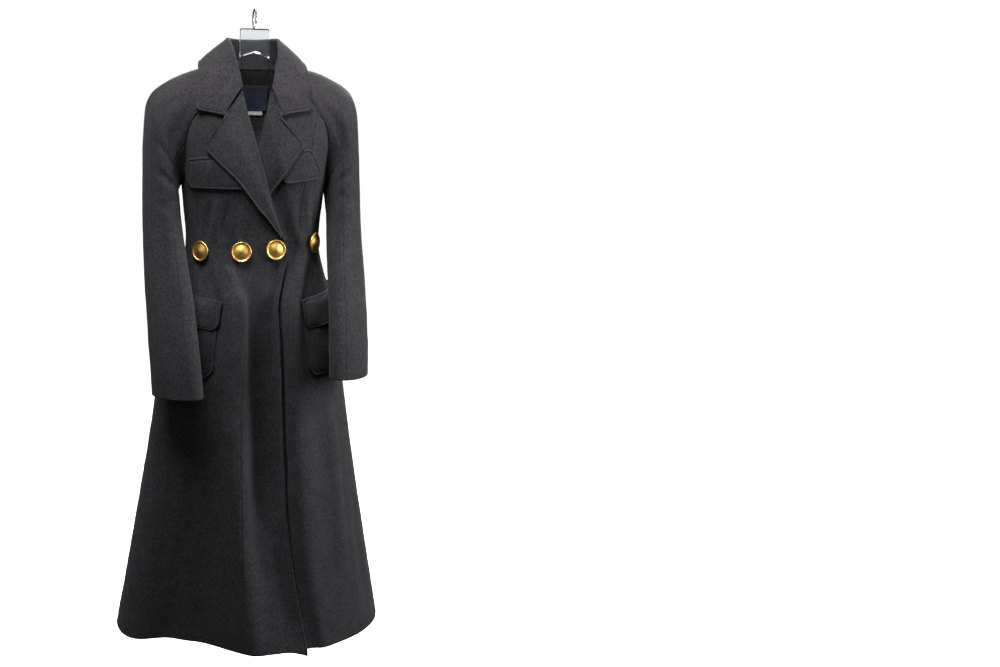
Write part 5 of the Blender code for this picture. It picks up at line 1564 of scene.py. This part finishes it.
def steel_material():
    """Steel wire, drawn and nickel plated: bright, with faint marks along it."""
    rough = (NOISE, {"Scale": 500.0, "Detail": 2.0}, {"To_Min": 0.18, "To_Max": 0.38})
    return patterned("plated_steel", rough=rough, Base_Color=hex_colour("#8f9094"), Metallic=1.0)


def floor_material(colour):
    """Seamless studio paper, matt, with a faint tooth, lit from within to stay pale."""
    tooth = (NOISE, {"Scale": 300.0, "Detail": 2.0})
    values = {"Base_Color": colour, "Roughness": 0.9, "Emission_Color": colour, "Emission_Strength": 1.1}
    return patterned("studio_paper", relief=(*tooth, "Fac", 0.05, 0.001), **values)


finishes = {}


def material_of(name):
    """The material of a finish, made the first time it is asked for."""
    if name in finishes:
        return finishes[name]
    fabric, trim = bpy.context.scene.coat_cloth, bpy.context.scene.coat_trim
    makers = {
        "wool": lambda: wool_material("coating_wool", fabric.wool, fabric.nap, fabric.twill),
        "lining": lining_material,
        "thread": thread_material,
        "brass": lambda: brass_material(trim.brass),
        "horn": horn_material,
        "leather": lambda: leather_material(trim.leather),
        "label": lambda: ribbon_material("navy_ribbon", trim.label),
        "tape": lambda: ribbon_material("off_white_ribbon", trim.tape),
        "clear": acrylic_material,
        "steel": steel_material,
        "floor": lambda: floor_material(bpy.context.scene.coat_studio.floor),
    }
    finishes[name] = makers[name]()
    return finishes[name]


def paint(node, finish):
    """Gives a node of the frame its finish."""
    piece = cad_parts[node]
    piece.data.materials.clear()
    piece.data.materials.append(material_of(finish))


def drop_selection():
    for thing in bpy.context.selected_objects:
        thing.select_set(False)


def turned_piece(name, profile, sides):
    """A round piece turned on +Z: its end face is extruded, then resized, for each step."""
    drop_selection()
    bpy.ops.mesh.primitive_circle_add(
        vertices=sides, radius=profile[0][0], fill_type="TRIFAN", location=(0, 0, profile[0][1])
    )
    piece = bpy.context.object
    piece.name = name
    bpy.ops.object.transform_apply(location=True, rotation=True, scale=True)
    bpy.ops.object.mode_set(mode="EDIT")
    bpy.ops.mesh.select_all(action="SELECT")
    for (radius, height), (wide, high) in zip(profile, profile[1:]):
        bpy.ops.mesh.extrude_region_move(TRANSFORM_OT_translate={"value": (0, 0, high - height)})
        share = wide / radius
        bpy.ops.transform.resize(value=(share, share, 1.0), center_override=(0, 0, high))
    bpy.ops.mesh.select_all(action="SELECT")
    bpy.ops.mesh.normals_make_consistent(inside=False)
    bpy.ops.object.mode_set(mode="OBJECT")
    bpy.ops.object.shade_smooth_by_angle(angle=math.radians(50))
    return piece


def pose_of(node):
    """Where a turned node stands: its axis and its foot, from the ring at its foot."""
    points = np.array([v.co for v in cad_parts[node].data.vertices])
    spread = points - points.mean(axis=0)
    way = np.linalg.svd(spread, full_matrices=False)[2][2]
    along = spread @ way
    radii = np.linalg.norm(spread - along[:, None] * way, axis=1)
    shank = radii[radii > radii.max() * 0.05].min()
    if along[abs(radii - shank) < 0.0002].mean() > 0:
        way, along = -way, -along
    foot = points.mean(axis=0) + way * along.min()
    return Matrix.Translation(foot) @ Vector(way).to_track_quat("Z", "Y").to_matrix().to_4x4()


def set_buttons(name, profile, sides, slot, nodes):
    """One button, and a copy of it with its own mesh at each of the nodes."""
    first = turned_piece(name, profile, sides)
    shape = first.data.copy()
    for node in nodes:
        if node == nodes[0]:
            made = first
        else:
            made = bpy.data.objects.new(f"{node}_turned", shape.copy())
            bpy.context.scene.collection.objects.link(made)
        made.name = f"{node}_turned"
        made.data.transform(pose_of(node))
        made.data.materials.clear()
        made.data.materials.append(material_of(slot))
        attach(made, "root")
        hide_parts(node)
    bpy.data.meshes.remove(shape)


class CoatBuilder:
    """Shared words of the operators."""

    bl_options = {"REGISTER", "UNDO"}


class COAT_OT_body(CoatBuilder, bpy.types.Operator):
    """Cuts the ten panels of the body and hangs them"""

    bl_idname = "coat.body"
    bl_label = "Body panels"

    def execute(self, context):
        for side, hand in HANDS:
            body_panels(side, hand)
        return {"FINISHED"}


class COAT_OT_sleeves(CoatBuilder, bpy.types.Operator):
    """Cuts the upper and under sleeves"""

    bl_idname = "coat.sleeves"
    bl_label = "Sleeves"

    def execute(self, context):
        for side, hand in HANDS:
            sleeves(side, hand)
        return {"FINISHED"}


class COAT_OT_collar(CoatBuilder, bpy.types.Operator):
    """Folds the collar over the neck, and the lapels over the fronts"""

    bl_idname = "coat.collar"
    bl_label = "Collar and lapels"

    def execute(self, context):
        collar()
        lapel("right", LAPEL_RIGHT, OVER_EDGE, None)
        lapel("left", LAPEL_LEFT, UNDER_EDGE, under_sink)
        return {"FINISHED"}


class COAT_OT_pockets(CoatBuilder, bpy.types.Operator):
    """Sews on the chest flaps and the hip pockets with their flaps"""

    bl_idname = "coat.pockets"
    bl_label = "Flaps and pockets"

    def execute(self, context):
        chest_flap("right", CHEST_FLAP_RIGHT, None)
        chest_flap("left", CHEST_FLAP_LEFT, under_sink)
        for side, hand in HANDS:
            hip_piece(f"hip_pocket_{hand}", HIP_POCKET, side, POCKET_PUFF, 0.0, POCKET_LAID, hand, PLAIN)
            hip_piece(f"hip_flap_{hand}", HIP_FLAP, side, FLAP_STAND, 0.35, FLAP_LAID, hand, STITCHED)
        return {"FINISHED"}


class COAT_OT_belt(CoatBuilder, bpy.types.Operator):
    """Laps the two halves of the half belt across the back"""

    bl_idname = "coat.belt"
    bl_label = "Half belt"

    def execute(self, context):
        half_belt("belt_over", -BELT_REACH, BELT_OVER_END, True)
        half_belt("belt_under", BELT_UNDER_END, BELT_REACH, False)
        return {"FINISHED"}


class COAT_OT_stitching(CoatBuilder, bpy.types.Operator):
    """Runs the rows of topstitching along the turned edges"""

    bl_idname = "coat.stitching"
    bl_label = "Topstitching"

    def execute(self, context):
        for name, lines in stitched.items():
            stitch_rows(name, lines)
        return {"FINISHED"}


class COAT_OT_buttons(CoatBuilder, bpy.types.Operator):
    """Turns the brass buttons and the dark ones of the cuffs"""

    bl_idname = "coat.buttons"
    bl_label = "Buttons"

    def execute(self, context):
        big = [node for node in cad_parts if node.startswith("button_front") or node == "button_belt"]
        small = [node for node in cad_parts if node.startswith("button_cuff")]
        set_buttons("big_button", BIG_BUTTON, 64, "brass", big)
        set_buttons("cuff_button", CUFF_BUTTON, 40, "horn", small)
        return {"FINISHED"}


class COAT_OT_labels(CoatBuilder, bpy.types.Operator):
    """Sews the leather tab, the bare label and its strip at the back of the neck"""

    bl_idname = "coat.labels"
    bl_label = "Tab and labels"

    def execute(self, context):
        neck_sheet("leather_tab", TAB, 0.0036, "leather", 0.0019)
        neck_sheet("neck_label", LABEL, -0.0052, "label", 0.0016)
        neck_sheet("label_strip", STRIP, -0.0044, "tape", 0.0013)
        return {"FINISHED"}


class COAT_OT_hanger(CoatBuilder, bpy.types.Operator):
    """Finishes the clear hanger and its wire hook"""

    bl_idname = "coat.hanger"
    bl_label = "Hanger"

    def execute(self, context):
        paint("hanger", "clear")
        paint("hanger_hook", "steel")
        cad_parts["hanger"].visible_shadow = False  # light passes through clear acrylic
        return {"FINISHED"}


CAMERA_AT = (-0.3994, -2.2651, -0.202)
CAMERA_YAW, CAMERA_PITCH, CAMERA_ROLL = -10.0, 11.8, 0.66
CAMERA_SHIFT = (0.249, 0.0)
LIGHTS = (  # name, place, aim, size, watts
    ("key_light", (1.8, -0.6, 0.0), (0.0, 0.0, -0.7), (0.7, 1.4), 74.0),
    ("back_light", (0.9, 1.9, 1.2), (0.0, 0.0, -0.5), (1.6, 1.6), 120.0),
    ("fill_light", (-1.9, -1.8, 0.5), (0.0, 0.0, -0.5), (1.6, 1.6), 8.0),
    ("top_light", (-0.5, -0.7, 1.35), (0.0, 0.0, -0.2), (1.0, 1.0), 96.0),
)


def add_camera(context):
    """The camera of the photograph's front view, framed so that the coat keeps its half."""
    drop_selection()
    bpy.ops.object.camera_add(location=CAMERA_AT)
    camera = context.object
    camera.name = "photo_camera"
    look = Matrix.Rotation(math.radians(CAMERA_YAW), 4, "Z")
    look = look @ Matrix.Rotation(math.radians(90.0 - CAMERA_PITCH), 4, "X")
    look = look @ Matrix.Rotation(math.radians(CAMERA_ROLL), 4, "Z")
    camera.rotation_euler = look.to_euler()
    camera.data.lens = context.scene.coat_studio.lens
    camera.data.sensor_width = 36.0
    camera.data.shift_x, camera.data.shift_y = CAMERA_SHIFT
    camera.data.clip_end = 50.0
    context.scene.camera = camera


def add_light(name, place, aim, size, power):
    drop_selection()
    bpy.ops.object.light_add(type="AREA", location=place)
    lamp = bpy.context.object
    lamp.name = name
    lamp.rotation_euler = (Vector(aim) - Vector(place)).to_track_quat("-Z", "Y").to_euler()
    lamp.data.shape = "RECTANGLE"
    lamp.data.size, lamp.data.size_y = size
    lamp.data.energy = power


class COAT_OT_studio(CoatBuilder, bpy.types.Operator):
    """Sets the floor, the soft light and the camera"""

    bl_idname = "coat.studio"
    bl_label = "Studio"

    def execute(self, context):
        low = CAD_BOX[0][2] - context.scene.coat_studio.floor_drop
        drop_selection()
        bpy.ops.mesh.primitive_plane_add(size=40.0, location=(0.0, 6.0, low))
        floor = context.object
        floor.name = "floor"
        bpy.ops.object.transform_apply(location=True, rotation=True, scale=True)
        floor.data.materials.append(material_of("floor"))
        floor.visible_diffuse = floor.visible_glossy = False
        world = bpy.data.worlds.new("studio_world")
        world.use_nodes = True
        tree = world.node_tree
        tree.nodes["Background"].inputs["Color"].default_value = hex_colour("#ffffff")
        # The backdrop looks white, directly and through the clear hanger, but lights the coat less.
        rays = add_node(tree, "ShaderNodeLightPath")
        links = [(0, rays.outputs["Is Camera Ray"]), (1, rays.outputs["Is Transmission Ray"])]
        seen = add_node(tree, "ShaderNodeMath", links, operation="MAXIMUM")
        room = context.scene.coat_studio.room
        links = [("Value", seen.outputs[0])]
        strength = add_node(tree, "ShaderNodeMapRange", links, To_Min=room, To_Max=1.0)
        tree.links.new(strength.outputs[0], tree.nodes["Background"].inputs["Strength"])
        context.scene.world = world
        for lamp in LIGHTS:
            add_light(*lamp)
        add_camera(context)
        context.scene.view_settings.view_transform = "Standard"
        return {"FINISHED"}


class COAT_PT_panel(bpy.types.Panel):
    """The coat's operators and settings"""

    bl_label = "Safari coat"
    bl_idname = "COAT_PT_panel"
    bl_space_type = "VIEW_3D"
    bl_region_type = "UI"
    bl_category = "Coat"

    def draw(self, context):
        layout = self.layout
        for step in STEPS:
            layout.operator(step.bl_idname)
        for group in (context.scene.coat_cloth, context.scene.coat_trim, context.scene.coat_studio):
            for name in group.__annotations__:
                layout.prop(group, name)


STEPS = (
    COAT_OT_body,
    COAT_OT_sleeves,
    COAT_OT_pockets,
    COAT_OT_collar,
    COAT_OT_belt,
    COAT_OT_labels,
    COAT_OT_stitching,
    COAT_OT_buttons,
    COAT_OT_hanger,
    COAT_OT_studio,
)
CLASSES = (CoatCloth, CoatTrim, CoatStudio, *STEPS, COAT_PT_panel)


def register():
    for kind in CLASSES:
        bpy.utils.register_class(kind)
    bpy.types.Scene.coat_cloth = PointerProperty(type=CoatCloth)
    bpy.types.Scene.coat_trim = PointerProperty(type=CoatTrim)
    bpy.types.Scene.coat_studio = PointerProperty(type=CoatStudio)


def unregister():
    del bpy.types.Scene.coat_cloth, bpy.types.Scene.coat_trim, bpy.types.Scene.coat_studio
    for kind in reversed(CLASSES):
        bpy.utils.unregister_class(kind)


def main():
    register()
    bpy.ops.coat.body()
    bpy.ops.coat.sleeves()
    bpy.ops.coat.pockets()
    bpy.ops.coat.collar()
    bpy.ops.coat.belt()
    bpy.ops.coat.labels()
    bpy.ops.coat.stitching()
    bpy.ops.coat.buttons()
    bpy.ops.coat.hanger()
    bpy.ops.coat.studio()


if __name__ == "__main__":
    main()
